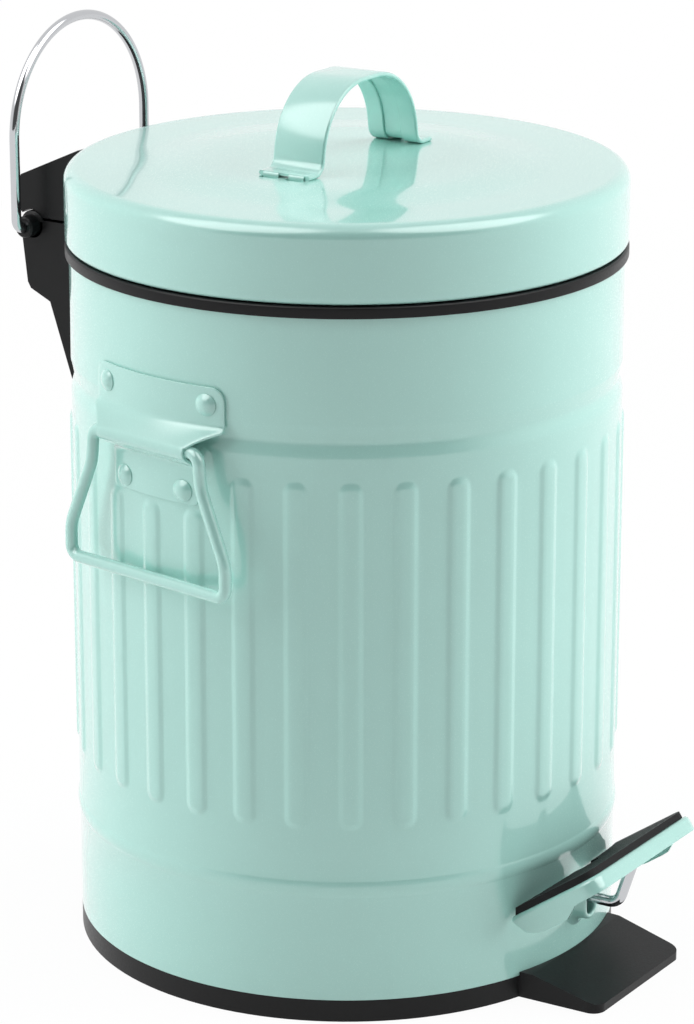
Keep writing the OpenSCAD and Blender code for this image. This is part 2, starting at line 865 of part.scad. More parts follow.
module carry_bail() {
    half = bail_w / 2;
    path = [
        [pin_end, 0], [half, 0], [half, bail_h], [-half, bail_h], [-half, 0], [-pin_end, 0]
    ];
    color(chrome)
        translate([0, hinge_y, hinge_z])
            upright_xz()
                swept(path, [0, bail_bend_r, half - 0.01, half - 0.01, bail_bend_r, 0])
                    circle(bail_d / 2, $fn = 48);
}

// ---- Side handles ----

module on_side(s) rotate([0, 0, s * handle_angle]) children();

module handle_bracket() {
    axis = [-handle_out, handle_z];
    hood_top = [-plate_out_r, hood_top_z];
    touch = touch_point(axis, barrel_r, hood_top, 1);
    web_low = [-plate_out_r, handle_z - 5];
    low_touch = touch_point(axis, barrel_r, web_low, -1);
    // The hood's end narrows from the plate's edge to the barrel in a hollow curve
    hood_end = rounded([
        [plate_w / 2, hood_top_z + 0.5], [plate_w / 2, handle_z + 5.5],
        [barrel_l / 2 + 2.5, handle_z + 3.5], [barrel_l / 2, handle_z - 1],
        [barrel_l / 2, handle_z - 6]
    ], [0, 1.2, 4, 1, 0], 12);
    color(mint)
    difference() {
        union() {
            // Upper plate and tongue, both rolled to the body
            intersection() {
                difference() {
                    cylinder(r = plate_out_r, h = body_top);
                    cylinder(r = plate_in_r, h = body_top);
                }
                union() {
                    translate([0, 0, handle_z + 4])
                        upright_xz()
                            linear_extrude(body_d)
                                tombstone(plate_w, plate_rise - 4, 4);
                    translate([-tongue_w / 2, -body_d, tongue_low])
                        cube([tongue_w, body_d, tongue_fall + 6]);
                }
            }
            // Hood and barrel that hold the handle
            intersection() {
                side_profile(plate_w - 1)
                    union() {
                        translate(axis) circle(barrel_r);
                        polygon([
                            [-body_r + 5, hood_top_z], hood_top, touch, axis, low_touch,
                            web_low, [-body_r + 5, handle_z - 5]
                        ]);
                    }
                upright_xz()
                    linear_extrude(body_d)
                        polygon(concat(hood_end, [
                            for (i = [len(hood_end) - 1:-1:0]) [-hood_end[i].x, hood_end[i].y]
                        ]));
            }
        }
        cylinder(r = plate_in_r, h = above_all);
        cross_pin(handle_pin_r + pin_gap, body_d, -handle_out, handle_z);
        // Room for the handle's arms to swing past the barrel's ends
        for (s = [-1, 1])
            translate([s * (barrel_l / 2 + 15), -handle_out, handle_z])
                rotate([0, 90, 0])
                    cylinder(r = handle_r + 3.4, h = 30, center = true);
        bracket_rivets(rivet_d / 2 + pin_gap, false);
    }
}

// The four rivets of one bracket: shanks only, or with both heads
module bracket_rivets(shank_r, heads) {
    dome_r = (rivet_head_d * rivet_head_d / 4 + rivet_head_h * rivet_head_h) / (2 * rivet_head_h);
    for (row = [0, 1], s = [-1, 1])
        rotate([0, 0, s * asin(rivet_x[row] / plate_out_r)])
            translate([0, -plate_out_r, rivet_z[row]])
                rotate([90, 0, 0]) {
                    translate([0, 0, -sheet_t * 3])
                        cylinder(r = shank_r, h = sheet_t * 4);
                    if (heads) {
                        intersection() {
                            translate([0, 0, rivet_head_h - dome_r])
                                sphere(dome_r);
                            cylinder(r = rivet_head_d, h = rivet_head_h);
                        }
                        translate([0, 0, body_in_r - plate_out_r - 1])
                            cylinder(r = shank_r + 1, h = 0.9);
                    }
                }
}

module handle_rivet_shanks(r) {
    for (s = [-1, 1])
        on_side(s) bracket_rivets(r, false);
}

module handle_rivets() {
    color(mint)
        for (s = [-1, 1])
            on_side(s) bracket_rivets(rivet_d / 2, true);
}

module side_handle() {
    top = handle_top_w / 2;
    grip = handle_grip_w / 2;
    start = barrel_l / 2 + 0.2;
    bend_r = min(3.2, 0.95 * (top - start));
    arm = [
        [start, 0], [top, 0], [top + 0.8, -0.25 * handle_fall], [grip, -0.75 * handle_fall],
        [grip, -handle_fall]
    ];
    other_arm = [for (i = [len(arm) - 1:-1:0]) [-arm[i].x, arm[i].y]];
    color(mint)
        translate([0, -handle_out, handle_z]) {
            upright_xz()
                wire(concat(arm, other_arm), [0, bend_r, 14, 14, 3.2, 3.2, 14, 14, bend_r, 0], handle_r);
            cross_pin(handle_pin_r, 2 * start + 0.4, 0, 0);
        }
}

module handle_bracket_left() on_side(-1) handle_bracket();
module handle_bracket_right() on_side(1) handle_bracket();
module side_handle_left() on_side(-1) side_handle();
module side_handle_right() on_side(1) side_handle();

// ---- Pedal ----

// Frame of the pedal: origin on the front edge, +Y down the slope to the body
module on_pedal() {
    translate([0, -pedal_reach, pedal_rise])
        rotate([-pedal_tilt, 0, 0])
            children();
}

module pedal_outline(inset, depth) {
    translate([0, depth])
        mirror([0, 1])
            tombstone(pedal_w - 2 * inset, depth - inset, pedal_corner_r - inset);
}

// Room round the spout in the pedal's rear edge
module spout_notch() {
    half = slot_w / 2 + spout_rim + pedal_gap;
    reach = body_r + spout_out + pedal_gap;
    translate([-half, half - reach, 0])
        cube([2 * half, reach, body_h]);
    translate([0, half - reach, 0])
        cylinder(r = half, h = body_h);
}

module pedal_plate() {
    // The flange hangs deeper beside the body and ends there in a rounded lobe
    lobe_end = pedal_depth - 11;
    flange_side = rounded([
        [-1, 0], [-1, -flange_h], [pedal_corner_r + 3, -flange_h], [pedal_corner_r + 9, -lobe_h],
        [lobe_end - 6, -lobe_h], [lobe_end + 2.5, -pedal_t], [lobe_end + 2.5, 0]
    ], [0, 0, 6, 6, 7, 0, 0], 6);
    color(mint)
    difference() {
        on_pedal()
            union() {
                translate([0, 0, -pedal_t])
                    linear_extrude(pedal_t) pedal_outline(0, pedal_depth);
                intersection() {
                    difference() {
                        translate([0, 0, -lobe_h - 1])
                            linear_extrude(lobe_h + 1) pedal_outline(0, pedal_depth);
                        translate([0, 0, -lobe_h - 2])
                            linear_extrude(lobe_h + 3) pedal_outline(pedal_t, pedal_depth + 1);
                    }
                    side_profile(pedal_w + 2) polygon(flange_side);
                }
            }
        cylinder(r = body_r + pedal_gap, h = body_h);
        spout_notch();
    }
}

module pedal_pad() {
    groove_step = 4;
    count = floor((pedal_w / 2 - 5) / groove_step);
    color(grey)
    difference() {
        on_pedal()
            difference() {
                linear_extrude(pad_t) pedal_outline(1.2, pedal_depth);
                for (i = [-count:count])
                    translate([i * groove_step - 0.5, 3.5, pad_t - 0.6])
                        cube([1, pedal_depth, 1]);
            }
        cylinder(r = body_r + pedal_gap + 0.4, h = body_h);
        spout_notch();
    }
}

module pedal_wire() {
    slope = [-cos(pedal_tilt), sin(pedal_tilt)];
    front = [-pedal_reach, pedal_rise];
    // The wire meets the pedal's underside where its rising leg crosses the sheet
    rise = [-cos(wire_rise_angle), sin(wire_rise_angle)];
    low = front + pedal_t * [-slope.y, slope.x];
    q = cross([knee.x - low.x, knee.y - low.y], slope) / cross(slope, rise);
    meet = knee + q * rise;
    path = [socket_in, knee, meet + 4 * rise];
    color(chrome)
    difference() {
        upright_yz()
            wire(path, [0, 4.5, 0], wire_r);
        on_pedal()
            translate([-20, -20, -pedal_t])
                cube([40, 80, 20]);
    }
}

// ---- Rocker and lift rod ----

module rocker_arm() {
    wall = 2;
    socket = [
        for (y = [-socket_front, -socket_rear])
            [y, wire_exit_z - (body_r + y) * tan(wire_slope)]
    ];
    reach = wire_r + wall;
    arm_top = [[-pivot_reach, pivot_z + hub_r - 1], [-rocker_bend, rocker_top], [rocker_end, rocker_top]];
    color(black)
    difference() {
        union() {
            cross_pin(hub_r, rocker_w, -pivot_reach, pivot_z);
            // Socket for the pedal wire, on a neck from the hub
            side_profile(rocker_w)
                polygon([
                    socket[0] + [0, reach], socket[1] + [0, reach],
                    [hub_r - pivot_reach, pivot_z], [-hub_r - pivot_reach, pivot_z],
                    socket[0] - [0, reach]
                ]);
            // Flange and web of the rear arm
            side_profile(rocker_w) band(arm_top, -wall, 0);
            side_profile(3)
                polygon([
                    arm_top[0], arm_top[1], arm_top[2], [rocker_end, rocker_low],
                    [-rocker_bend - 2, rocker_low], [-pivot_reach, pivot_z - hub_r + 1]
                ]);
        }
        cross_pin(rocker_pin_d / 2 + pin_gap, rocker_w + 2, -pivot_reach, pivot_z);
        upright_yz()
            swept([socket_in, knee], [0, 0]) circle(wire_r + 0.02, $fn = 48);
    }
}

module rocker_pin() {
    color(chrome)
        cross_pin(rocker_pin_d / 2, 2 * post_out, -pivot_reach, pivot_z);
}

module lift_rod() {
    path = [[rod_y - rod_foot_l, rod_foot_z], [rod_y, rod_foot_z], [rod_y, rod_top]];
    color(chrome)
        upright_yz()
            swept(path, [0, 3, 0]) circle(rod_d / 2, $fn = 48);
}

module rod_guides() {
    color(black)
        for (z = guide_low_z)
            difference() {
                intersection() {
                    translate([-guide_w / 2, rod_y - rod_d / 2 - guide_wall, z])
                        cube([guide_w, body_r - rod_y + rod_d, guide_h]);
                    cylinder(r = body_in_r - seat_gap, h = body_top);
                }
                translate([0, rod_y, z - 1])
                    cylinder(r = rod_d / 2 + pin_gap, h = guide_h + 2);
            }
}

// ---- Bucket ----

module inner_bucket() {
    low_r = bucket_top_r - bucket_draft;
    top = ledge_top + flange_t;
    color(grey)
    difference() {
        rotate_extrude()
            polygon([
                [0, bucket_low], [low_r - 3, bucket_low], [low_r, bucket_low + 3],
                [bucket_top_r, ledge_top], [flange_r, ledge_top], [flange_r, top],
                [bucket_top_r - bucket_t, top], [low_r - bucket_t, bucket_low + 3.6],
                [low_r - 3.6, bucket_low + bucket_t], [0, bucket_low + bucket_t]
            ]);
        translate([-rod_notch_w / 2, rod_y - rod_d / 2 - 1, ledge_top - 1])
            cube([rod_notch_w, 20, flange_t + 2]);
    }
}

base_pan();
body_shell();
top_rim();
lid_shell();
strap_handle();
hinge_cover();
lid_clamp_block();
lid_screws();
hinge_housing();
housing_screws();
hinge_pin();
carry_bail();
handle_bracket_left();
handle_bracket_right();
handle_rivets();
side_handle_left();
side_handle_right();
pedal_plate();
pedal_pad();
pedal_wire();
rocker_arm();
rocker_pin();
lift_rod();
rod_guides();
inner_bucket();
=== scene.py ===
import math

import bmesh
import bpy
from mathutils import Matrix, Vector


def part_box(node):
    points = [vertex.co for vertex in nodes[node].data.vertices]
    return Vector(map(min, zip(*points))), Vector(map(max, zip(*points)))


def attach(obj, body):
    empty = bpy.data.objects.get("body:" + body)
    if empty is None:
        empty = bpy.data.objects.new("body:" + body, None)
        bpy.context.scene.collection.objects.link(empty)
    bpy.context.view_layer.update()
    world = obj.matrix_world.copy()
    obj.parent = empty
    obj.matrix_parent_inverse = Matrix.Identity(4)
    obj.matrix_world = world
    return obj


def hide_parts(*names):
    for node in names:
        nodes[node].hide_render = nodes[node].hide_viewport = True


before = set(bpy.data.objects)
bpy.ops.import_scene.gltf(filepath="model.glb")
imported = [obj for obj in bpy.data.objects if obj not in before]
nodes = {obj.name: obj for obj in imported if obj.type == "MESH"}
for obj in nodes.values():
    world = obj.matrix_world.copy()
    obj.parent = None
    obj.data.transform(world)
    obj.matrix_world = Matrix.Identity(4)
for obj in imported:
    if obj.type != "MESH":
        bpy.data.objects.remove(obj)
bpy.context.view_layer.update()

mm = 0.001
wireSides = 28


# Node trees

def put(tree, kind, *values, out=0, **settings):
    node = tree.nodes.new(kind)
    for key, value in settings.items():
        setattr(node, key, value)
    for i, value in enumerate(values):
        if isinstance(value, bpy.types.NodeSocket):
            tree.links.new(value, node.inputs[i])
        elif value is not None:
            node.inputs[i].default_value = value
    return node.outputs[out]


def calc(tree, operation, *values):
    return put(tree, "ShaderNodeMath", *values, operation=operation)


# A soft change from low to high while the value goes from start to end
def softStep(tree, value, start, end, low, high):
    step = put(tree, "ShaderNodeMapRange", value, start, end, low, high)
    step.node.interpolation_type = "SMOOTHSTEP"
    return step


# A geometry tree with an input for each named size
def geometryTree(name, sizes):
    tree = bpy.data.node_groups.new(name, "GeometryNodeTree")
    face = tree.interface
    face.new_socket("Geometry", in_out="INPUT", socket_type="NodeSocketGeometry")
    for label, size in sizes.items():
        kind = "NodeSocketInt" if isinstance(size, int) else "NodeSocketFloat"
        face.new_socket(label, in_out="INPUT", socket_type=kind)
    face.new_socket("Geometry", in_out="OUTPUT", socket_type="NodeSocketGeometry")
    entry = tree.nodes.new("NodeGroupInput")
    return tree, entry.outputs


def endTree(tree, geometry, material):
    real = put(tree, "GeometryNodeRealizeInstances", geometry)
    painted = put(tree, "GeometryNodeSetMaterial", real, None, material)
    tree.links.new(painted, tree.nodes.new("NodeGroupOutput").inputs[0])


def growTree(obj, tree, sizes):
    modifier = obj.modifiers.new(tree.name, "NODES")
    modifier.node_group = tree
    for item in tree.interface.items_tree:
        if item.item_type == "SOCKET" and item.name in sizes:
            modifier[item.identifier] = sizes[item.name]


# Meshes

def addObject(name, data):
    obj = bpy.data.objects.new(name, data)
    bpy.context.scene.collection.objects.link(obj)
    return obj


def addMesh(name, points, faces):
    mesh = bpy.data.meshes.new(name)
    mesh.from_pydata([tuple(p) for p in points], [], faces)
    work = bmesh.new()
    work.from_mesh(mesh)
    bmesh.ops.remove_doubles(work, verts=work.verts, dist=1e-7)
    bmesh.ops.recalc_face_normals(work, faces=work.faces)
    work.to_mesh(mesh)
    work.free()
    return addObject(name, mesh)


# Makes the modifiers' result the object's own mesh; flatFaces keeps large faces flat to the eye
def bakeModifiers(obj, smoothAngle=35, flatFaces=False):
    bpy.context.view_layer.update()
    depsgraph = bpy.context.evaluated_depsgraph_get()
    mesh = bpy.data.meshes.new_from_object(obj.evaluated_get(depsgraph))
    mesh.name = obj.name
    obj.modifiers.clear()
    obj.data = mesh
    mesh.shade_smooth()
    mesh.set_sharp_from_angle(angle=math.radians(smoothAngle))
    if flatFaces:
        weigh = obj.modifiers.new("weigh", "WEIGHTED_NORMAL")
        weigh.keep_sharp = True
        weigh.weight = 80
        bakeModifiers(obj, smoothAngle)


def thicken(obj, thickness, offset=-1):
    modifier = obj.modifiers.new("sheet", "SOLIDIFY")
    modifier.thickness = thickness
    modifier.offset = offset
    modifier.use_even_offset = True


def roundEdges(obj, width, segments=3, angle=38):
    modifier = obj.modifiers.new("edges", "BEVEL")
    modifier.width = width
    modifier.segments = segments
    modifier.limit_method = "ANGLE"
    modifier.angle_limit = math.radians(angle)


def cutAway(obj, cutter):
    modifier = obj.modifiers.new("cut", "BOOLEAN")
    modifier.object = cutter
    modifier.solver = "EXACT"


# Faces between rows of points; wraps joins the last column to the first
def netFaces(rows, columns, wraps=False):
    faces = []
    for start in range(0, (rows - 1) * columns, columns):
        ahead = start + columns
        for k in range(columns if wraps else columns - 1):
            n = (k + 1) % columns
            faces.append([start + k, start + n, ahead + n, ahead + k])
    return faces


# A closed outline of (radius, height) points, turned round the Z axis
def revolve(name, outline, sides):
    count = len(outline)
    points = []
    for i in range(sides):
        a = 2 * math.pi * i / sides
        points += [(r * math.cos(a), r * math.sin(a), z) for r, z in outline]
    faces = []
    for i in range(sides):
        j = (i + 1) % sides
        for k in range(count):
            n = (k + 1) % count
            if outline[k][0] > 0 or outline[n][0] > 0:    # a line along the axis makes no face
                faces.append([i * count + k, j * count + k, j * count + n, i * count + n])
    return addMesh(name, points, faces)


# Replaces the inner corners of a path by arcs of these radii, a point every step degrees
def roundPath(path, radii, step=6):
    path = [Vector(p) for p in path]
    line = [path[0]]
    for before, corner, after, radius in zip(path, path[1:], path[2:], radii):
        a = (before - corner).normalized()
        b = (after - corner).normalized()
        half = a.angle(b) / 2
        if half > math.radians(89.5):    # the path runs straight on
            line.append(corner)
            continue
        centre = corner + (a + b).normalized() * radius / math.sin(half)
        start = corner + a * radius / math.tan(half) - centre
        end = corner + b * radius / math.tan(half) - centre
        turn = math.pi - 2 * half
        axis = start.cross(end).normalized()
        steps = max(2, math.ceil(math.degrees(turn) / step))
        for k in range(steps + 1):
            line.append(centre + Matrix.Rotation(turn * k / steps, 3, axis) @ start)
    line.append(path[-1])
    return line


# A section of (side, binormal) points along a flat path
def sweep(name, path, binormal, section):
    binormal = Vector(binormal).normalized()
    count = len(section)
    last = len(path) - 1
    points = []
    for i, p in enumerate(path):
        ahead = (path[min(i + 1, last)] - p).normalized()
        behind = (p - path[max(i - 1, 0)]).normalized()
        heading = (ahead + behind).normalized()
        side = binormal.cross(heading)
        stretch = 1 / max(0.5, heading.dot(ahead if i < last else behind))
        points += [p + side * s * stretch + binormal * b for s, b in section]
    faces = netFaces(last + 1, count, True)
    faces.append(list(range(count)))
    faces.append([last * count + k for k in range(count)])
    return addMesh(name, points, faces)


def circle(radius, sides):
    turn = 2 * math.pi / sides
    return [(radius * math.cos(turn * k), radius * math.sin(turn * k)) for k in range(sides)]


def arc(centre, radius, start, end, steps):
    line = []
    for k in range(steps + 1):
        a = math.radians(start + (end - start) * k / steps)
        line.append((centre[0] + radius * math.cos(a), centre[1] + radius * math.sin(a)))
    return line


def clamp(t):
    return min(1, max(0, t))


def boxes(name, centres, half):
    points, faces = [], []
    for centre in centres:
        start = len(points)
        points += [centre + Vector((x, y, z)) for x in (-half[0], half[0])
                   for y in (-half[1], half[1]) for z in (-half[2], half[2])]
        for face in ([0, 1, 3, 2], [4, 6, 7, 5], [0, 4, 5, 1], [2, 3, 7, 6], [0, 2, 6, 4], [1, 5, 7, 3]):
            faces.append([start + k for k in face])
    return addMesh(name, points, faces)


def joinObjects(name, parts):
    work = bmesh.new()
    for part in parts:
        work.from_mesh(part.data)
        bpy.data.objects.remove(part)
    mesh = bpy.data.meshes.new(name)
    work.to_mesh(mesh)
    work.free()
    return addObject(name, mesh)


# A copy of a CAD node with its faces joined and its edges rounded
def refineNode(name, node, width, segments=3, shape=None):
    source = nodes[node]
    mesh = source.data.copy()
    mesh.name = name
    mesh.transform(source.matrix_world)
    mesh.materials.clear()
    work = bmesh.new()
    work.from_mesh(mesh)
    bmesh.ops.remove_doubles(work, verts=work.verts, dist=2e-6)
    bmesh.ops.dissolve_limit(work, angle_limit=math.radians(0.6), verts=work.verts, edges=work.edges)
    if shape:
        shape(work)
    work.to_mesh(mesh)
    work.free()
    obj = addObject(name, mesh)
    roundEdges(obj, width, segments)
    bakeModifiers(obj, flatFaces=True)
    return obj


def finishPiece(obj, body, slot, material, *replaced):
    obj.data.materials.clear()
    obj.data.materials.append(material)
    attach(obj, body)
    if replaced:
        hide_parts(*replaced)


# A direction by its turn round the bin, from the pedal side to the left, and its rise
def direction(turn, rise=0):
    a, b = math.radians(turn), math.radians(rise)
    return -math.sin(a) * math.cos(b), -math.cos(a) * math.cos(b), math.sin(b)


# Camera

cameraSet = {
    "turn": 57.0,        # degrees round the bin from the pedal side
    "distance": 1.1152,  # from the bin's axis
    "height": 0.4802,
    "pitch": 17.44,      # degrees below the horizon
    "lens": 136.4,
    "sensor": 36.0,
    "near": 0.05,
    "far": 20.0,
}


def addCamera(c):
    data = bpy.data.cameras.new("camera")
    data.lens = c["lens"]
    data.sensor_width = c["sensor"]
    data.clip_start = c["near"]
    data.clip_end = c["far"]
    camera = addObject("camera", data)
    x, y = direction(c["turn"])[:2]
    camera.location = (c["distance"] * x, c["distance"] * y, c["height"])
    camera.rotation_euler = (math.radians(90 - c["pitch"]), 0, -math.radians(c["turn"]))
    bpy.context.scene.camera = camera


addCamera(cameraSet)
print("camera set")


# Studio

studioSet = {
    "white": 1.0,
    "fill": 0.1,              # share of the white surroundings that lights dull surfaces
    "darkTurn": 57.0,         # turn of the side that is dark to glossy surfaces
    "darkEdge": (0.45, 0.8),  # where its soft edge lies, as the cosine from its middle
    "darkLevel": 0.1,         # what glossy surfaces see there
    "brightLevel": 0.93,      # and what they see elsewhere
    "windows": [(118, 50), (-8, 50)],  # turn and rise of two soft windows that only gloss shows
    "windowEdge": (0.84, 0.93),
    "windowLevel": 3.0,
    "floorSize": 12.0,
    "floorDrop": 0.2 * mm,    # below the base
    "floorGrey": 0.9,
    "floorGlow": 0.96,        # how bright the floor shows beside the bin
    "floorFade": (0.3, 1.0),  # distances between which that rises to 1
    "lampAim": 0.13,          # height that the lamps point at
    "lamps": [
        # name, turn, height, distance, width, length, power
        ("left", 151.0, 0.75, 1.5, 1.7, 1.9, 33.0),
        ("right", -38.0, 0.75, 1.5, 1.7, 1.9, 35.0),
        ("top", 57.0, 1.6, 0.1, 1.6, 1.6, 9.0),
    ],
}


def addWorld(s):
    world = bpy.data.worlds.new("studio")
    bpy.context.scene.world = world
    world.use_nodes = True
    tree = world.node_tree
    tree.nodes.clear()
    coords = tree.nodes.new("ShaderNodeTexCoord").outputs["Generated"]

    def closeness(turn, rise):
        aim = direction(turn, rise)
        return put(tree, "ShaderNodeVectorMath", coords, aim, out=1, operation="DOT_PRODUCT")

    dark = s["darkLevel"]
    level = softStep(tree, closeness(s["darkTurn"], 0), *s["darkEdge"], 1.0, dark)
    rays = tree.nodes.new("ShaderNodeLightPath").outputs
    sharp = calc(tree, "MAXIMUM", rays["Is Glossy Ray"], rays["Is Transmission Ray"])
    soft = calc(tree, "MULTIPLY", level, s["fill"])
    mirrored = put(tree, "ShaderNodeMapRange", level, dark, 1.0, dark, s["brightLevel"])
    for turn, rise in s["windows"]:
        pane = softStep(tree, closeness(turn, rise), *s["windowEdge"], 0.0, s["windowLevel"])
        mirrored = calc(tree, "ADD", mirrored, pane)
    lit = put(tree, "ShaderNodeMix", sharp, None, soft, mirrored)
    strength = put(tree, "ShaderNodeMix", rays["Is Camera Ray"], None, lit, s["white"])
    background = put(tree, "ShaderNodeBackground", (1, 1, 1, 1), strength)
    tree.links.new(background, tree.nodes.new("ShaderNodeOutputWorld").inputs[0])


def addFloor(s):
    size, z, grey = s["floorSize"], -s["floorDrop"], s["floorGrey"]
    corners = [(-size, -size, z), (size, -size, z), (size, size, z), (-size, size, z)]
    floor = addMesh("floor", corners, [[0, 1, 2, 3]])
    material = bpy.data.materials.new("floor")
    material.use_nodes = True
    tree = material.node_tree
    tree.nodes.clear()
    rays = tree.nodes.new("ShaderNodeLightPath").outputs
    seen = calc(tree, "MAXIMUM", rays["Is Camera Ray"], rays["Is Glossy Ray"])
    seen = calc(tree, "MAXIMUM", seen, rays["Is Transmission Ray"])
    place = tree.nodes.new("ShaderNodeTexCoord").outputs["Object"]
    away = put(tree, "ShaderNodeVectorMath", place, out=1, operation="LENGTH")
    share = put(tree, "ShaderNodeMapRange", away, *s["floorFade"], s["floorGlow"], 1.0)
    seen = calc(tree, "MULTIPLY", seen, share)
    dull = put(tree, "ShaderNodeBsdfDiffuse", (grey, grey, grey, 1))
    glow = put(tree, "ShaderNodeEmission", (1, 1, 1, 1), s["white"])
    mixed = put(tree, "ShaderNodeMixShader", seen, dull, glow)
    tree.links.new(mixed, tree.nodes.new("ShaderNodeOutputMaterial").inputs[0])
    floor.data.materials.append(material)


def addLamps(s):
    for name, turn, height, distance, width, length, power in s["lamps"]:
        data = bpy.data.lights.new(name, "AREA")
        data.shape = "RECTANGLE"
        data.size = width
        data.size_y = length
        data.energy = power
        lamp = addObject(name, data)
        x, y = direction(turn)[:2]
        lamp.location = (distance * x, distance * y, height)
        aim = Vector((0, 0, s["lampAim"])) - lamp.location
        lamp.rotation_euler = aim.to_track_quat("-Z", "Y").to_euler()
        lamp.visible_glossy = False    # gloss shows the soft windows instead


addWorld(studioSet)
addFloor(studioSet)
addLamps(studioSet)
bpy.context.scene.view_settings.view_transform = "Standard"
print("studio built")


# Materials: "cloud", "peel", "speck", "grain" and "scratch" are scales of noise

paintSet = {
    "colour": (0.41, 0.72, 0.655), "shade": 0.93, "cloud": 18, "rough": 0.22, "speck": 3200,
    "peel": 420, "peelDepth": 0.03 * mm, "peelStrength": 0.15,
    "ior": 1.5, "coat": 1.0, "coatIor": 1.6, "coatRough": 0.03,
}
plasticSet = {"colour": (0.009, 0.009, 0.0095), "rough": 0.36, "grain": 1500}
bucketSet = {"colour": (0.03, 0.03, 0.032), "rough": 0.5, "grain": 900}
rubberSet = {"colour": (0.008, 0.008, 0.0085), "rough": 0.6, "grain": 2200}
mouldedSet = {    # what all plastic and rubber shares
    "shade": 0.75, "cloud": 30, "ior": 1.4, "specular": 0.3,
    "grainDepth": 0.06 * mm, "grainStrength": 0.35,
}
chromeSet = {"colour": (0.6, 0.61, 0.63), "rough": 0.07, "scratch": 260}
steelSet = {"colour": (0.56, 0.57, 0.59), "rough": 0.34, "scratch": 420}
metalSet = {      # what all metal shares
    "shade": 0.92, "cloud": 60, "drawn": 0.15, "scratchDepth": 0.02 * mm, "scratchStrength": 0.2,
}


def startMaterial(name):
    material = bpy.data.materials.new(name)
    material.use_nodes = True
    tree = material.node_tree
    shader = tree.nodes["Principled BSDF"]
    place = tree.nodes.new("ShaderNodeTexCoord").outputs["Object"]
    return material, tree, shader, place


def setInputs(node, values):
    for label, value in values.items():
        node.inputs[label].default_value = value


def noise(tree, place, scale, detail, rough=0.5):
    node = put(tree, "ShaderNodeTexNoise", place).node
    setInputs(node, {"Scale": scale, "Detail": detail, "Roughness": rough})
    return node.outputs[0]


def bump(tree, shader, height, distance, strength):
    node = tree.nodes.new("ShaderNodeBump")
    setInputs(node, {"Distance": distance, "Strength": strength})
    tree.links.new(height, node.inputs["Height"])
    tree.links.new(node.outputs[0], shader.inputs["Normal"])


# Most of the noise lies between 0.3 and 0.7
def spread(tree, value, middle, least, most, shader):
    rough = put(tree, "ShaderNodeMapRange", value, 0.3, 0.7, middle * least, middle * most)
    tree.links.new(rough, shader.inputs["Roughness"])


def tint(tree, value, colour, darker, shader):
    mixed = tree.nodes.new("ShaderNodeMix")
    mixed.data_type = "RGBA"
    tree.links.new(value, mixed.inputs["Factor"])
    mixed.inputs[6].default_value = (*[c * darker for c in colour], 1)
    mixed.inputs[7].default_value = (*colour, 1)
    tree.links.new(mixed.outputs[2], shader.inputs["Base Color"])


def paintMaterial(s):
    material, tree, shader, place = startMaterial("mintPaint")
    cloud = noise(tree, place, s["cloud"], 2)
    peel = noise(tree, place, s["peel"], 2)
    speck = noise(tree, place, s["speck"], 1)
    tint(tree, cloud, s["colour"], s["shade"], shader)
    spread(tree, speck, s["rough"], 0.8, 1.3, shader)
    setInputs(shader, {
        "IOR": s["ior"], "Coat IOR": s["coatIor"], "Coat Weight": s["coat"],
        "Coat Roughness": s["coatRough"],
    })
    bump(tree, shader, peel, s["peelDepth"], s["peelStrength"])
    return material


def plasticMaterial(name, s, shared):
    material, tree, shader, place = startMaterial(name)
    cloud = noise(tree, place, shared["cloud"], 3)
    grain = noise(tree, place, s["grain"], 2, 0.6)
    tint(tree, cloud, s["colour"], shared["shade"], shader)
    spread(tree, grain, s["rough"], 0.85, 1.15, shader)
    setInputs(shader, {"IOR": shared["ior"], "Specular IOR Level": shared["specular"]})
    bump(tree, shader, grain, shared["grainDepth"], shared["grainStrength"])
    return material


def metalMaterial(name, s, shared):
    material, tree, shader, place = startMaterial(name)
    stretched = put(tree, "ShaderNodeMapping", place, None, None, (1, 1, shared["drawn"]))
    line = noise(tree, stretched, s["scratch"], 4, 0.65)
    cloud = noise(tree, place, shared["cloud"], 2)
    tint(tree, cloud, s["colour"], shared["shade"], shader)
    spread(tree, line, s["rough"], 0.7, 1.4, shader)
    setInputs(shader, {"Metallic": 1.0})
    bump(tree, shader, line, shared["scratchDepth"], shared["scratchStrength"])
    return material


paint = paintMaterial(paintSet)
plastic = plasticMaterial("blackPlastic", plasticSet, mouldedSet)
bucketPlastic = plasticMaterial("bucketPlastic", bucketSet, mouldedSet)
rubber = plasticMaterial("padRubber", rubberSet, mouldedSet)
chrome = metalMaterial("chromeWire", chromeSet, metalSet)
steel = metalMaterial("zincSteel", steelSet, metalSet)
print("materials made")


# Body

bodySet = {
    "sheet": 0.8 * mm,
    "inRim": 1.9 * mm,     # how far the sheet's upper edge stands in the rim
    "ribs": 33,
    "ribWidth": 8.0 * mm,
    "ribDepth": 0.65 * mm,
    "ribShoulder": 2.4 * mm,
    "ribTurn": -1.7,       # degrees that the row of ribs is turned from the pedal
    "ribRise": 52.6 * mm,  # above the body's lower edge
    "ribDrop": 47.0 * mm,  # below the rim
    "ribGap": 1.0 * mm,    # under a bracket's tongue
    "ribClear": 0.009,     # radians beside that tongue in which ribs are short
    "beadRise": 34.6 * mm,
    "beadWidth": 5.3 * mm,
    "beadDepth": 0.6 * mm,
    "grooveDrop": 35.9 * mm,
    "grooveAbove": 4.9 * mm,
    "grooveBelow": 5.2 * mm,
    "grooveDepth": 1.0 * mm,
    "grooveCurve": 1.15,
    "crease": 0.3 * mm,    # between the rows beside the groove's edges
    "slotWidth": 7.8 * mm,
    "slotLow": 18.6 * mm,
    "slotHigh": 27.6 * mm,
}

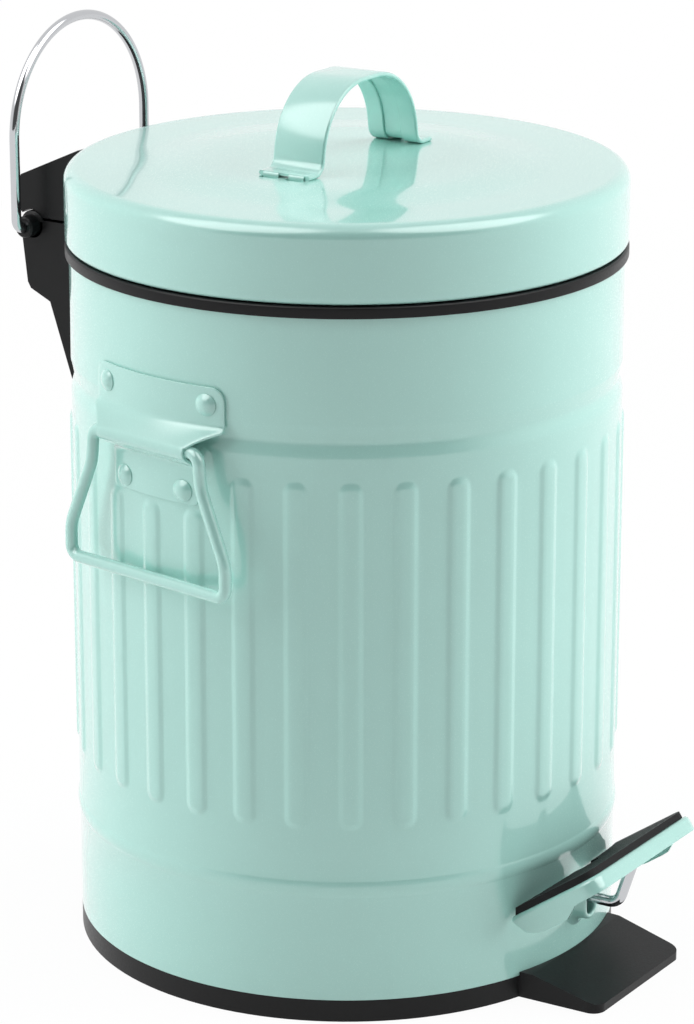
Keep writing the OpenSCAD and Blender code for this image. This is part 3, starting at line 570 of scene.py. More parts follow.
# The side handles' sizes stand here because the ribs stop short under their brackets
handleSet = {
    "angle": 99.0,           # from the pedal side
    "drop": 40.4 * mm,       # of the wire's axis below the rim
    "standOff": 1.4 * mm,    # of the wire from the body
    "wire": 3.7 * mm,
    "topWidth": 41.6 * mm,
    "gripWidth": 61.6 * mm,
    "fall": 40.4 * mm,
    "inBarrel": 6.0 * mm,
    "bend": 0.95,            # share of the room between barrel and arm that the bend takes
    "bow": 0.9 * mm,
    "bowAt": 0.25,           # shares of the fall
    "gripAt": 0.76,
    "armRadius": 14.0 * mm,
    "gripRadius": 3.2 * mm,
    "sheet": 0.8 * mm,
    "sheetRound": 0.25 * mm,
    "barrel": 34.0 * mm,
    "barrelGap": 0.2 * mm,   # from its ends to the wire's bends
    "wireGap": 0.05 * mm,
    "bodyGap": 0.1 * mm,
    "plateWidth": 50.0 * mm,
    "plateRise": 18.4 * mm,
    "plateCorner": 4.0 * mm,
    "foldDrop": 6.4 * mm,    # of the hood's upper fold below the rivets
    "foldLead": 2.4 * mm,    # flat stretch above that fold
    "foldRadius": 3.0 * mm,
    "flareLow": 0.6 * mm,    # the hood widens from here, above the wire's axis
    "flareRun": 5.4 * mm,
    "flarePower": 1.7,
    "webDrop": 5.0 * mm,     # of the hood's lower fold below that axis
    "webLead": 2.0 * mm,
    "webRadius": 1.2 * mm,
    "tongueWidth": 33.0 * mm,
    "tongueFall": 17.0 * mm,
    "tongueCorner": 1.5 * mm,
    "rivetHead": 6.4 * mm,
    "rivetSide": 0.4 * mm,
    "rivetStraight": 0.6,    # share of that side below its round
    "rivetHeight": 1.5 * mm,
    "rivetFoot": 0.2 * mm,
    "rivetRound": 0.25 * mm,
    "rivetEdge": 5.2 * mm,   # of the upper rivets from the plate's upper edge
    "rivetInset": 5.5 * mm,  # and from its sides
    "lowRivetEdge": 3.9 * mm,
    "lowRivetInset": 5.0 * mm,
}

bodyLow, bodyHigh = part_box("body_shell")
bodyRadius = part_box("base_pan")[1][0]
bodyTop = bodyHigh[2] - bodySet["inRim"]    # where the rim's flange begins


def shortRibTop(b, h):
    return bodyTop - h["drop"] - h["tongueFall"] - b["ribGap"]


# Presses the ribs, the bead and the groove out of a plain round sheet
def bodyTree(sizes):
    tree, inputs = geometryTree("pressed sheet", sizes)

    def do(operation, *values):
        return calc(tree, operation, *values)

    x, y, z = put(tree, "ShaderNodeSeparateXYZ", put(tree, "GeometryNodeInputPosition")).node.outputs
    bearing = do("ARCTAN2", x, do("MULTIPLY", y, -1.0))
    angle = do("SUBTRACT", bearing, inputs["Rib turn"])
    halfStep = do("MULTIPLY", do("DIVIDE", 2 * math.pi, inputs["Ribs"]), 0.5)
    local = do("WRAP", angle, halfStep, do("MULTIPLY", halfStep, -1.0))
    centre = do("ABSOLUTE", do("SUBTRACT", bearing, local))
    apart = do("ABSOLUTE", do("SUBTRACT", centre, inputs["Bracket angle"]))
    short = do("LESS_THAN", apart, inputs["Bracket reach"])
    drop = do("SUBTRACT", inputs["Rib high"], inputs["Bracket low"])
    high = do("SUBTRACT", inputs["Rib high"], do("MULTIPLY", short, drop))
    halfWidth = do("MULTIPLY", inputs["Rib width"], 0.5)
    below = do("SUBTRACT", do("ADD", inputs["Rib low"], halfWidth), z)
    above = do("SUBTRACT", z, do("SUBTRACT", high, halfWidth))
    past = do("MAXIMUM", do("MAXIMUM", below, above), 0.0)
    across = do("MULTIPLY", local, inputs["Radius"])
    away = do("SQRT", do("ADD", do("POWER", across, 2.0), do("POWER", past, 2.0)))
    crest = do("SUBTRACT", halfWidth, inputs["Shoulder"])
    rib = softStep(tree, away, crest, halfWidth, inputs["Rib depth"], 0.0)

    fromBead = do("SUBTRACT", z, inputs["Bead height"])
    u = do("DIVIDE", fromBead, do("MULTIPLY", inputs["Bead width"], 0.5))
    swell = do("MAXIMUM", do("SUBTRACT", 1.0, do("MULTIPLY", u, u)), 0.0)
    bead = do("MULTIPLY", swell, inputs["Bead depth"])

    fromValley = do("SUBTRACT", z, inputs["Groove height"])
    over = do("DIVIDE", fromValley, inputs["Groove above"])
    under = do("DIVIDE", do("MULTIPLY", fromValley, -1.0), inputs["Groove below"])
    upperWall = do("POWER", do("MAXIMUM", over, 0.0), inputs["Groove curve"])
    lowerWall = softStep(tree, under, 0.0, 1.0, 0.0, 1.0)
    wall = do("MINIMUM", do("ADD", upperWall, lowerWall), 1.0)
    groove = do("MULTIPLY", do("SUBTRACT", 1.0, wall), inputs["Groove depth"])

    push = do("SUBTRACT", do("ADD", rib, bead), groove)
    flat = put(tree, "ShaderNodeCombineXYZ", x, y, 0.0)
    outward = put(tree, "ShaderNodeVectorMath", flat, operation="NORMALIZE")
    offset = put(tree, "ShaderNodeVectorMath", outward, operation="SCALE")
    tree.links.new(push, offset.node.inputs["Scale"])
    moved = put(tree, "GeometryNodeSetPosition", inputs["Geometry"], None, None, offset)
    endTree(tree, moved, paint)
    return tree


# Rows and columns of the sheet are close together only where its shape changes
def bodyColumns(b):
    step = 2 * math.pi / b["ribs"]
    halfWidth = b["ribWidth"] / 2
    shares = [0.2, 0.5, 0.6, 0.7, 0.8, 0.9, 1.0, 1.45]    # of that half width
    offsets = sorted([s * halfWidth * sign for s in shares for sign in (-1, 1)])
    turn = math.radians(b["ribTurn"])
    return [turn + i * step + d / bodyRadius for i in range(b["ribs"]) for d in offsets]


def bodyRows(b, h):
    bead = bodyLow[2] + b["beadRise"]
    groove = bodyTop - b["grooveDrop"]
    grooveTop = groove + b["grooveAbove"]
    ribLow = bodyLow[2] + b["ribRise"]
    ribHigh = bodyTop - b["ribDrop"]
    ribShort = shortRibTop(b, h)
    end = b["ribWidth"] / 2
    stretches = [
        # from, to, about how far apart
        (bead - b["beadWidth"] / 2, bead + b["beadWidth"] / 2, 0.5 * mm),
        (ribLow, ribLow + end, 0.45 * mm),
        (ribShort - end, ribShort, 0.5 * mm),
        (ribHigh - end, ribHigh, 0.45 * mm),
        (groove - b["grooveBelow"], groove, 0.6 * mm),
        (groove, grooveTop, 0.8 * mm),
    ]
    rows = [bodyLow[2], b["slotLow"], b["slotHigh"], bodyHigh[2]]
    for low, high, step in stretches:
        count = max(1, round((high - low) / step))
        rows += [low + (high - low) * k / count for k in range(count + 1)]
    rows += [z + side * b["crease"] for z in (groove, grooveTop) for side in (-1, 1)]
    return sorted(set(round(z, 6) for z in rows))


def buildBody(b, h):
    columns = bodyColumns(b)
    rows = bodyRows(b, h)
    points = [(bodyRadius * math.sin(a), -bodyRadius * math.cos(a), z) for z in rows for a in columns]
    faces = []
    for corners in netFaces(len(rows), len(columns), True):
        middle = sum((Vector(points[c]) for c in corners), Vector()) / 4
        inSlot = abs(middle.x) < b["slotWidth"] / 2 and b["slotLow"] < middle.z < b["slotHigh"]
        if not (inSlot and middle.y < 0):
            faces.append(corners)
    obj = addMesh("bodySheet", points, faces)
    reach = math.asin(h["tongueWidth"] / 2 / bodyRadius) + math.asin(b["ribWidth"] / 2 / bodyRadius)
    sizes = {
        "Ribs": b["ribs"], "Rib turn": math.radians(b["ribTurn"]), "Radius": bodyRadius,
        "Rib width": b["ribWidth"], "Rib depth": b["ribDepth"], "Shoulder": b["ribShoulder"],
        "Rib low": bodyLow[2] + b["ribRise"], "Rib high": bodyTop - b["ribDrop"],
        "Bracket low": shortRibTop(b, h), "Bracket angle": math.radians(h["angle"]),
        "Bracket reach": reach + b["ribClear"],
        "Bead height": bodyLow[2] + b["beadRise"], "Bead width": b["beadWidth"],
        "Bead depth": b["beadDepth"], "Groove height": bodyTop - b["grooveDrop"],
        "Groove above": b["grooveAbove"], "Groove below": b["grooveBelow"],
        "Groove depth": b["grooveDepth"], "Groove curve": b["grooveCurve"],
    }
    growTree(obj, bodyTree(sizes), sizes)
    thicken(obj, b["sheet"])
    bakeModifiers(obj, 50)
    finishPiece(obj, "bin", "mint_paint", paint, "body_shell")


buildBody(bodySet, handleSet)
print("body built")


# Spout round the pedal wire

spoutSet = {
    "slot": 4.8 * mm,
    "low": 19.3 * mm,
    "high": 26.9 * mm,
    "out": 4.9 * mm,  # most that it stands in front of the body
    "flush": 0.1,     # forward of this the flange leaves the round of the body
    "neck": 3.0,      # and over this it turns into a straight neck
    "kept": 0.9,      # share of a point's way forward that stays in front of the body
    "sides": 48,
    # Millimetres of growth round the slot and in front of the body, from the sheet to the hole
    "profile": [
        (5.2, -0.25), (4.2, 0.1), (3.1, 0.75), (2.3, 1.7), (1.85, 2.8), (1.65, 4.0), (1.45, 4.6),
        (1.1, 4.9), (0.5, 4.9), (0.15, 4.65), (0.05, 4.2), (0.4, 3.4), (0.9, 2.0), (1.3, -1.0),
    ],
}


def buildSpout(s):
    radius = s["slot"] / 2
    points = []
    for grow, forward in s["profile"]:
        r = radius + grow * mm
        for k in range(s["sides"]):
            a = 2 * math.pi * (k + 0.5) / s["sides"]
            centre = s["high"] - radius if math.sin(a) > 0 else s["low"] + radius
            x = r * math.cos(a)
            surface = -math.sqrt(bodyRadius ** 2 - x ** 2)
            front = -bodyRadius - forward * mm
            if forward < s["flush"]:
                y = surface - forward * mm
            else:
                share = clamp((forward - s["flush"]) / s["neck"])
                y = min(surface * (1 - share) + front * share, surface - forward * mm * s["kept"])
            points.append((x, max(y, -bodyRadius - s["out"]), centre + r * math.sin(a)))
    obj = addMesh("pedalSpout", points, netFaces(len(s["profile"]), s["sides"], True))
    bakeModifiers(obj, 60)
    finishPiece(obj, "bin", "mint_paint", paint)


buildSpout(spoutSet)
print("spout built")


# Lid

lidLow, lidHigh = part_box("lid_shell")

lidSet = {
    "sheet": 0.8 * mm,
    "edge": 4.2 * mm,
    "roll": 1.8 * mm,
    "hemWidth": 2.1 * mm,
    "hemHeight": 1.4 * mm,
    "hemSlope": 0.3 * mm,
    "domeHeight": 1.2 * mm,
    "domeRadius": 40.0 * mm,
    "domeSlope": 24.0 * mm,
    "middle": 20.0 * mm,  # radius of the innermost ring of faces
    "sides": 256,
}

strapSet = {
    "sheet": 0.8 * mm,
    "thick": 1.4 * mm,     # with its folded edges
    "lip": 0.25 * mm,
    "span": 50.0 * mm,
    "lean": 3.5 * mm,
    "archFlat": 1.0 * mm,  # half of the crown's straight stretch
    "heel": 4.0 * mm,      # radius at the foot of each leg
    "foot": 8.5 * mm,
    "footEnd": 0.5 * mm,   # that the feet stop short of the tabs
    "tabWidth": 5.2 * mm,
    "tabBend": 0.5 * mm,
    "tabReach": 3.0 * mm,
    "tabGap": 0.05 * mm,
    "slotGap": 0.4 * mm,
    "slotOut": 1.8 * mm,
    "slotDeep": 3.0 * mm,
}


# The S-shaped step from the lid's flat rim up to the raised disc
def domeLine(s, high, inset):
    line = []
    steps = 10
    for k in range(steps + 1):
        t = k / steps
        rise = t * t * (3 - 2 * t)
        line.append((s["domeRadius"] + s["domeSlope"] * (1 - t), high + s["domeHeight"] * rise - inset))
    return line


def buildLid(s, strap):
    radius = lidHigh[0]
    low = lidLow[2]
    top = lidHigh[2]
    high = top - s["domeHeight"]
    t, edge, roll = s["sheet"], s["edge"], s["roll"]
    hem = radius - t - s["hemWidth"]
    hemTop = low + s["hemHeight"]
    outer = [(0, top), (s["middle"], top)]
    outer += list(reversed(domeLine(s, high, 0)))
    outer += arc((radius - edge, high - edge), edge, 90, 0, 14)
    outer += arc((radius - roll, low + roll), roll, 0, -90, 8)
    inner = [(hem, low), (hem, hemTop), (radius - t, hemTop + s["hemSlope"])]
    inner += arc((radius - edge, high - edge), edge - t, 0, 90, 10)
    inner += domeLine(s, high, t)
    inner += [(s["middle"], top - t), (0, top - t)]
    obj = revolve("lid", outer + inner, s["sides"])
    tabX = strap["span"] / 2 + strap["foot"] - strap["sheet"] / 2
    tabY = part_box("strap_handle")[1][1] / 2
    out = strap["slotOut"] / 2
    half = [strap["sheet"] / 2 + out, strap["tabWidth"] / 2 + strap["slotGap"], strap["slotDeep"]]
    cutter = boxes("slotCutter", [
        Vector((sx * (tabX + out), sy * tabY, high)) for sx in (-1, 1) for sy in (-1, 1)
    ], half)
    cutAway(obj, cutter)
    bakeModifiers(obj, 32)
    bpy.data.objects.remove(cutter)
    finishPiece(obj, "lid", "mint_paint", paint, "lid_shell")


buildLid(lidSet, strapSet)
print("lid built")


# Strap handle: a sheet whose long edges are folded under it

def strapSection(s, width):
    r = s["thick"] / 2
    lipEnd = width / 6
    fold = arc((0, 0), r, 90, -90, 8)
    half = [(b, a + width / 2 - r) for a, b in fold]
    half += [(-r, lipEnd + s["lip"]), (-r + s["lip"], lipEnd), (r - s["sheet"], lipEnd)]
    return half + [(a, -b) for a, b in reversed(half)]


def buildStrap(s):
    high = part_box("strap_handle")[1]
    top = lidHigh[2]
    t, layer = s["thick"], s["sheet"]
    foot = top + t / 2
    crown = high[2] - t / 2
    leg = s["span"] / 2 + t / 2
    end = high[0] - s["footEnd"]
    arch = leg - s["lean"] - s["archFlat"]
    path = roundPath([
        (-end, 0, foot), (-leg, 0, foot), (-leg + s["lean"], 0, crown),
        (leg - s["lean"], 0, crown), (leg, 0, foot), (end, 0, foot),
    ], [s["heel"], arch, arch, s["heel"]], step=3)
    parts = [sweep("strap", path, (0, -1, 0), strapSection(s, high[1] * 2))]
    a, b = layer / 2, s["tabWidth"] / 2
    tabSection = [(-a, -b), (a, -b), (a, b), (-a, b)]
    tabZ = top + t - layer / 2
    inside = top - lidSet["sheet"] - layer / 2 - s["tabGap"]
    for side in (-1, 1):
        for y in (-high[1] / 2, high[1] / 2):
            x = side * (high[0] - layer / 2)
            reach = side * s["tabReach"]
            tab = roundPath([(x - reach, y, tabZ), (x, y, tabZ), (x, y, inside), (x + reach, y, inside)],
                            [s["tabBend"], s["tabBend"]], step=9)
            parts.append(sweep("tab", tab, (0, -1, 0), tabSection))
    obj = joinObjects("strapHandle", parts)
    bakeModifiers(obj, 40)
    finishPiece(obj, "lid", "mint_paint", paint, "strap_handle")


buildStrap(strapSet)
print("strap built")


# Rim between body and lid

rimSet = {
    "flange": 1.5 * mm,
    "round": 0.3 * mm,
    "skirt": 2.4 * mm,  # depths inside the body's radius
    "sheetIn": 0.9 * mm,
    "sheetOut": -0.1 * mm,
    "ledge": 2.3 * mm,
    "ledgeThick": 1.6 * mm,
    "ledgeDrop": 5.8 * mm,
    "sides": 256,
}

rimLow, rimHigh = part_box("top_rim")


def buildRim(s):
    low, top, outer = rimLow[2], rimHigh[2], rimHigh[0]
    t, e = s["flange"], s["round"]
    r = t / 2
    skirt, sheetIn, sheetOut = (bodyRadius - s[depth] for depth in ("skirt", "sheetIn", "sheetOut"))
    ledgeTop = top - s["ledgeDrop"]
    ledgeLow = ledgeTop - s["ledgeThick"]
    ledgeIn = skirt - s["ledge"]
    outline = [(skirt, top - e), (skirt + e, top)]
    outline += arc((outer - r, top - r), r, 90, 0, 6)
    outline += arc((outer - e, bodyTop + e), e, 0, -90, 4)
    outline += [
        (sheetOut, bodyTop), (sheetOut, top - t), (sheetIn, top - t), (sheetIn, low), (skirt, low),
        (skirt, ledgeLow), (ledgeIn, ledgeLow), (ledgeIn, ledgeTop), (skirt, ledgeTop),
    ]
    obj = revolve("topRim", outline, s["sides"])
    bakeModifiers(obj, 32)
    finishPiece(obj, "bin", "black_plastic", plastic, "top_rim")


buildRim(rimSet)
print("rim built")


# Base pan, hinge cover, bucket and rocker keep the CAD shape, with rounded edges

coverSet = {
    "roofRear": (98.8 * mm, 227.3 * mm),  # a point of the cover's sloping roof
    "roofSlope": 0.45,
}


def lowerRoof(work):
    y, z = coverSet["roofRear"]
    cut = bmesh.ops.bisect_plane(
        work, geom=work.verts[:] + work.edges[:] + work.faces[:], plane_co=(0, y, z),
        plane_no=(0, coverSet["roofSlope"], 1), clear_outer=True,
    )
    edges = [e for e in cut["geom_cut"] if isinstance(e, bmesh.types.BMEdge)]
    bmesh.ops.edgenet_fill(work, edges=edges)
    bmesh.ops.recalc_face_normals(work, faces=work.faces)


refineSet = [
    # piece, node, body, edge radius, slot, material, change of shape
    ("basePan", "base_pan", "bin", 0.4 * mm, "black_plastic", plastic, None),
    ("hingeCover", "hinge_cover", "lid", 0.6 * mm, "black_plastic", plastic, lowerRoof),
    ("innerBucket", "inner_bucket", "bin", 0.4 * mm, "bucket_plastic", bucketPlastic, None),
    ("rockerArm", "rocker_arm", "pedal", 0.3 * mm, "black_plastic", plastic, None),
]

for name, node, body, radius, slotName, material, shape in refineSet:
    finishPiece(refineNode(name, node, radius, shape=shape), body, slotName, material, node)


# Hinge housing: a hood on the body's rear with a knuckle and a boss on each side

housingSet = {
    "width": 51.0 * mm,
    # Outline seen from the side, in millimetres: distance behind the axis and height
    "outline": [
        (74, 212.9), (92.4, 212.9), (97.2, 211.1), (101.4, 211.1), (99.3, 193.2), (98.2, 191.3),
        (91.0, 188.0), (82.8, 163.6), (78.6, 151.9), (74, 151.9),
    ],
    "edge": 0.6 * mm,
    "knuckle": 4.4 * mm,
    "knuckleGap": 0.4 * mm,  # round the lid's knuckle
    "gapWidth": 34.6 * mm,
    "boss": 3.3 * mm,
    "bossHole": 1.6 * mm,
    "holeDepth": 2.6 * mm,
    "endRound": 0.5 * mm,
    "bodyGap": 0.1 * mm,
    "ribGap": 1.2 * mm,      # from the body's radius where the ribs run under the hood
    "ribClear": 2.0 * mm,
    "rimUnder": 1.0 * mm,    # how far below the flange the hood stands back for the rim
    "cutLow": 100 * mm,      # heights between which body and rim are cut out of the hood
    "cutHigh": 250 * mm,
    "cutSides": 192,
    "sides": 40,             # of the knuckles and bosses
}


def alongX(obj, y, z):
    obj.data.transform(Matrix.Translation((0, y, z)) @ Matrix.Rotation(math.radians(90), 4, "Y"))
    return obj


def buildHousing(s):
    pinLow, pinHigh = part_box("hinge_pin")
    y, z = (pinLow[1] + pinHigh[1]) / 2, (pinLow[2] + pinHigh[2]) / 2
    half, gap = s["width"] / 2, s["gapWidth"] / 2
    outline = [(a * mm, b * mm) for a, b in s["outline"]]
    count = len(outline)
    points = [(x, a, b) for x in (-half, half) for a, b in outline]
    faces = [list(range(count)), [count + k for k in range(count)]]
    faces += [[k, (k + 1) % count, count + (k + 1) % count, count + k] for k in range(count)]
    hood = addMesh("hood", points, faces)
    crest = bodyRadius + s["ribGap"]
    plain = bodyRadius + s["bodyGap"]
    ribTop = bodyTop - bodySet["ribDrop"] + s["ribClear"]
    rim = rimHigh[0] - s["bodyGap"]
    rimUnder = bodyTop - s["rimUnder"]
    low, high = s["cutLow"], s["cutHigh"]
    bodyCut = revolve("bodyCut", [
        (0, low), (crest, low), (crest, ribTop), (plain, ribTop), (plain, rimUnder), (rim, rimUnder),
        (rim, high), (0, high),
    ], s["cutSides"])
    knuckleCut = sweep("knuckleCut", [Vector((x, y, z)) for x in (-gap, gap)], (0, 1, 0),
                       circle(s["knuckle"] + s["knuckleGap"], s["sides"]))
    cutAway(hood, bodyCut)
    cutAway(hood, knuckleCut)
    roundEdges(hood, s["edge"])
    bakeModifiers(hood, flatFaces=True)
    parts = [hood]
    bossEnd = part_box("hinge_housing")[1][0]
    e, r, k, hole = s["endRound"], s["boss"], s["knuckle"], s["bossHole"]
    bossRows = [
        (0, bossEnd - s["holeDepth"]), (hole, bossEnd - s["holeDepth"]), (hole, bossEnd),
        (r - e, bossEnd), (r, bossEnd - e), (r, gap), (0, gap),
    ]
    knuckleRows = [(0, half), (k - s["knuckleGap"], half), (k, half - e), (k, gap), (0, gap)]
    for side in (-1, 1):
        for name, rows in (("boss", bossRows), ("knuckle", knuckleRows)):
            turned = [(out, side * along) for out, along in rows]
            parts.append(alongX(revolve(name, turned, s["sides"]), y, z))
    obj = joinObjects("hingeHousing", parts)
    for cutter in (bodyCut, knuckleCut):
        bpy.data.objects.remove(cutter)
    bakeModifiers(obj)
    finishPiece(obj, "bin", "black_plastic", plastic, "hinge_housing")


buildHousing(housingSet)
print("base and hinge built")


# Side handles

def onSide(obj, side, angle):
    obj.data.transform(Matrix.Rotation(side * math.radians(angle), 4, "Z"))


def handleAxis(h):
    return bodyRadius + h["standOff"] + h["wire"] / 2, bodyTop - h["drop"]


def buildHandle(h, side, word):
    node = "side_handle_" + word    # its body has the same name
    out, z = handleAxis(h)
    top, grip, fall = h["topWidth"] / 2, h["gripWidth"] / 2, h["fall"]
    bend = h["bend"] * (top - h["barrel"] / 2 - h["barrelGap"])
    arm, foot = h["armRadius"], h["gripRadius"]
    line = [(h["barrel"] / 2 - h["inBarrel"], 0), (top, 0), (top + h["bow"], -h["bowAt"] * fall),
            (grip, -h["gripAt"] * fall), (grip, -fall)]
    route = [Vector((x, -out, z + d)) for x, d in line]
    route += [Vector((-p.x, p.y, p.z)) for p in reversed(route)]
    radii = [bend, arm, arm, foot, foot, arm, arm, bend]
    path = roundPath(route, radii, step=5)
    obj = sweep("sideHandle_" + word, path, (0, 1, 0), circle(h["wire"] / 2, wireSides))
    onSide(obj, side, h["angle"])
    bakeModifiers(obj, 50)
    finishPiece(obj, node, "mint_paint", paint, node)


# The bracket's sheet from its top edge, over the hood and round the wire, to its lower edge.
# Each row has the distance from the axis, the height, half the width and how straight it runs.
def bracketRows(h):
    out, z = handleAxis(h)
    r = h["wire"] / 2 + h["wireGap"] + h["sheet"]
    face = bodyRadius + h["bodyGap"] + h["sheet"]
    plateTop = z + h["plateRise"]
    hoodTop = plateTop - h["rivetEdge"] - h["foldDrop"]
    webLow = z - h["webDrop"]
    wide, narrow, tongue = h["plateWidth"] / 2, h["barrel"] / 2, h["tongueWidth"] / 2

    def touch(point, side):
        d = Vector(point) - Vector((out, z))
        return math.degrees(math.atan2(d.y, d.x) - side * math.acos(r / d.length))

    def onBarrel(angle):
        a = math.radians(angle)
        return out + r * math.cos(a), z + r * math.sin(a)

    high = touch((face, hoodTop), 1)
    low = touch((face, webLow), -1)
    rows = []
    corner = h["plateCorner"]
    for side, rise in arc((wide - corner, plateTop - corner), corner, 90, 0, 6):
        rows.append((face, rise, side, 0))
    start, end = onBarrel(high), onBarrel(low)

    def straightness(height):
        return max(0, (hoodTop - height) / (hoodTop - start[1]))

    fold = [(face, hoodTop + h["foldLead"], 0), (face, hoodTop, 0), (*start, 0)]
    hood = roundPath(fold, [h["foldRadius"]])
    rows += [(p.x, p.y, wide, straightness(p.y)) for p in hood[:-1]]
    webSteps, barrelSteps = 8, 18
    for k in range(1, webSteps + 1):
        p = hood[-2].lerp(hood[-1], k / webSteps)
        rows.append((p.x, p.y, wide, straightness(p.y)))
    while low > high:
        low -= 360
    for k in range(1, barrelSteps + 1):
        rows.append((*onBarrel(high + (low - high) * k / barrelSteps), narrow, 1))
    fold = [(*end, 0), (face, webLow, 0), (face, webLow - h["webLead"], 0)]
    web = roundPath(fold, [h["webRadius"]], step=15)
    rows += [(p.x, p.y, tongue, 1 - k / (len(web) - 1)) for k, p in enumerate(web) if k]
    corner = h["tongueCorner"]
    for side, rise in arc((tongue - corner, z - h["tongueFall"] + corner), corner, 0, -90, 4):
        rows.append((face, rise, side, 0))
    shaped = []
    for distance, height, half, straight in rows:
        if straight > 0 and half == wide:
            t = clamp((height - (z + h["flareLow"])) / h["flareRun"])
            half = narrow + (wide - narrow) * t ** h["flarePower"]
        shaped.append((distance, height, half, straight))
    return shaped


def buildBracket(h, side, word):
    rows = bracketRows(h)
    columns = 29
    points = []
    for distance, height, half, straight in rows:
        for k in range(columns):
            x = half * (2 * k / (columns - 1) - 1)
            curved = math.sqrt(distance ** 2 - x ** 2)
            points.append((x, -(curved * (1 - straight) + distance * straight), height))
    obj = addMesh("handleBracket_" + word, points, netFaces(len(rows), columns))
    facesOut = obj.data.polygons[3].normal.y < 0
    thicken(obj, h["sheet"], -1 if facesOut else 1)
    roundEdges(obj, h["sheetRound"], segments=2, angle=60)
    bakeModifiers(obj, 45)
    onSide(obj, side, h["angle"])
    finishPiece(obj, "bin", "mint_paint", paint, "handle_bracket_" + word)


def rivetHead(h):
    r, side, top, foot = h["rivetHead"] / 2, h["rivetSide"], h["rivetHeight"], h["rivetFoot"]
    height = top - side
    inner = r - h["rivetRound"]
    ball = (inner * inner + height * height) / (2 * height)
    reach = math.degrees(math.asin(inner / ball))
    dome = arc((0, top - ball), ball, 90, 90 - reach, 8)
    dome[0] = (0, top)
    edge = [(r, side * h["rivetStraight"]), (r, -foot), (0, -foot)]
    return revolve("rivetHead", dome + edge, 40)


def rivetTree(head, material):
    tree, inputs = geometryTree("rivets on points", {})
    facing = put(tree, "GeometryNodeInputNamedAttribute", "facing", data_type="FLOAT_VECTOR")
    turn = put(tree, "FunctionNodeAlignRotationToVector", None, 1.0, facing, axis="Z")
    shape = put(tree, "GeometryNodeObjectInfo", head, transform_space="ORIGINAL", out=4)
    placed = tree.nodes.new("GeometryNodeInstanceOnPoints")
    tree.links.new(inputs["Geometry"], placed.inputs["Points"])
    tree.links.new(shape, placed.inputs["Instance"])
    tree.links.new(turn, placed.inputs["Rotation"])
    endTree(tree, placed.outputs[0], material)
    return tree


def buildRivets(h):
    z = handleAxis(h)[1]
    face = bodyRadius + h["bodyGap"] + h["sheet"]
    pairs = [
        (h["plateWidth"] / 2 - h["rivetInset"], z + h["plateRise"] - h["rivetEdge"]),
        (h["tongueWidth"] / 2 - h["lowRivetInset"], z - h["tongueFall"] + h["lowRivetEdge"]),
    ]
    places, normals = [], []
    for side in (-1, 1):
        for x, height in pairs:
            for sign in (-1, 1):
                a = side * math.radians(h["angle"]) + sign * math.asin(x / face)
                normal = Vector((math.sin(a), -math.cos(a), 0))
                places.append(normal * face + Vector((0, 0, height)))
                normals.append(normal)
    mesh = bpy.data.meshes.new("handleRivets")
    mesh.from_pydata([tuple(p) for p in places], [], [])
    facing = mesh.attributes.new("facing", "FLOAT_VECTOR", "POINT")
    for item, normal in zip(facing.data, normals):
        item.vector = normal
    obj = addObject("handleRivets", mesh)
    head = rivetHead(h)
    head.data.shade_smooth()
    growTree(obj, rivetTree(head, paint), {})
    bakeModifiers(obj, 50)
    bpy.data.objects.remove(head)
    finishPiece(obj, "bin", "mint_paint", paint, "handle_rivets")


for side, word in ((-1, "left"), (1, "right")):
    buildHandle(handleSet, side, word)
    buildBracket(handleSet, side, word)
buildRivets(handleSet)
print("side handles built")


# Carry bail

bailSet = {
    "corner": 3.0 * mm,
    "pinGap": 0.3 * mm,     # from the hinge pin's ends
    "archFlat": 0.01 * mm,  # half of the crown's straight stretch
}


def buildBail(s):
    low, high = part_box("carry_bail")
    pinLow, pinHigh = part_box("hinge_pin")
    r = (high[1] - low[1]) / 2
    y = (high[1] + low[1]) / 2
    z = (pinLow[2] + pinHigh[2]) / 2
    half, top = high[0] - r, high[2] - r
    end = pinHigh[0] + s["pinGap"]
    arch = half - s["archFlat"]
    path = roundPath([
        (end, y, z), (half, y, z), (half, y, top), (-half, y, top), (-half, y, z), (-end, y, z),
    ], [s["corner"], arch, arch, s["corner"]], step=2.5)
    obj = sweep("carryBail", path, (0, 1, 0), circle(r, wireSides))
    bakeModifiers(obj, 50)
    finishPiece(obj, "carry_bail", "chrome_wire", chrome, "carry_bail")


buildBail(bailSet)
print("bail built")


# Pedal

pedalSet = {
    "reach": 104.0 * mm,     # of its front edge from the bin's axis
    "rise": 45.5 * mm,
    "tilt": 35.0,
    "sheet": 1.0 * mm,
    "sheetRound": 0.2 * mm,
    "bend": 1.3 * mm,
    "corner": 6.0 * mm,
    "gap": 1.2 * mm,
    "notch": 5.2 * mm,
    "notchOut": 6.2 * mm,
    "front": 4.8 * mm,       # depth of the turned-down edge at the front
    "lobe": 7.8 * mm,        # and at the sides
    "lobeStart": 9.0 * mm,
    "lobeRun": 7.0 * mm,
    "rearRun": 9.0 * mm,     # over which it ends towards the body
    "rearLeast": 0.3 * mm,   # depth left there, beyond the sheet's own
    "skirtLeast": 0.1 * mm,  # and below the bend
    "wire": 3.4 * mm,
    "wireHeight": 24.5 * mm,
    "wireSlope": 1.0,
    "wireRun": 14.0 * mm,
    "wireRise": 72.0,
    "wireBend": 4.5 * mm,
    "wireIn": 0.1 * mm,      # that it stops short of the CAD wire's end
    "wireGap": 0.2 * mm,     # and of the plate's underside
    "padRound": 0.25 * mm,
}


def pedalPlace(p):
    turn = Matrix.Rotation(-math.radians(p["tilt"]), 4, "X")
    return Matrix.Translation((0, -p["reach"], p["rise"])) @ turn


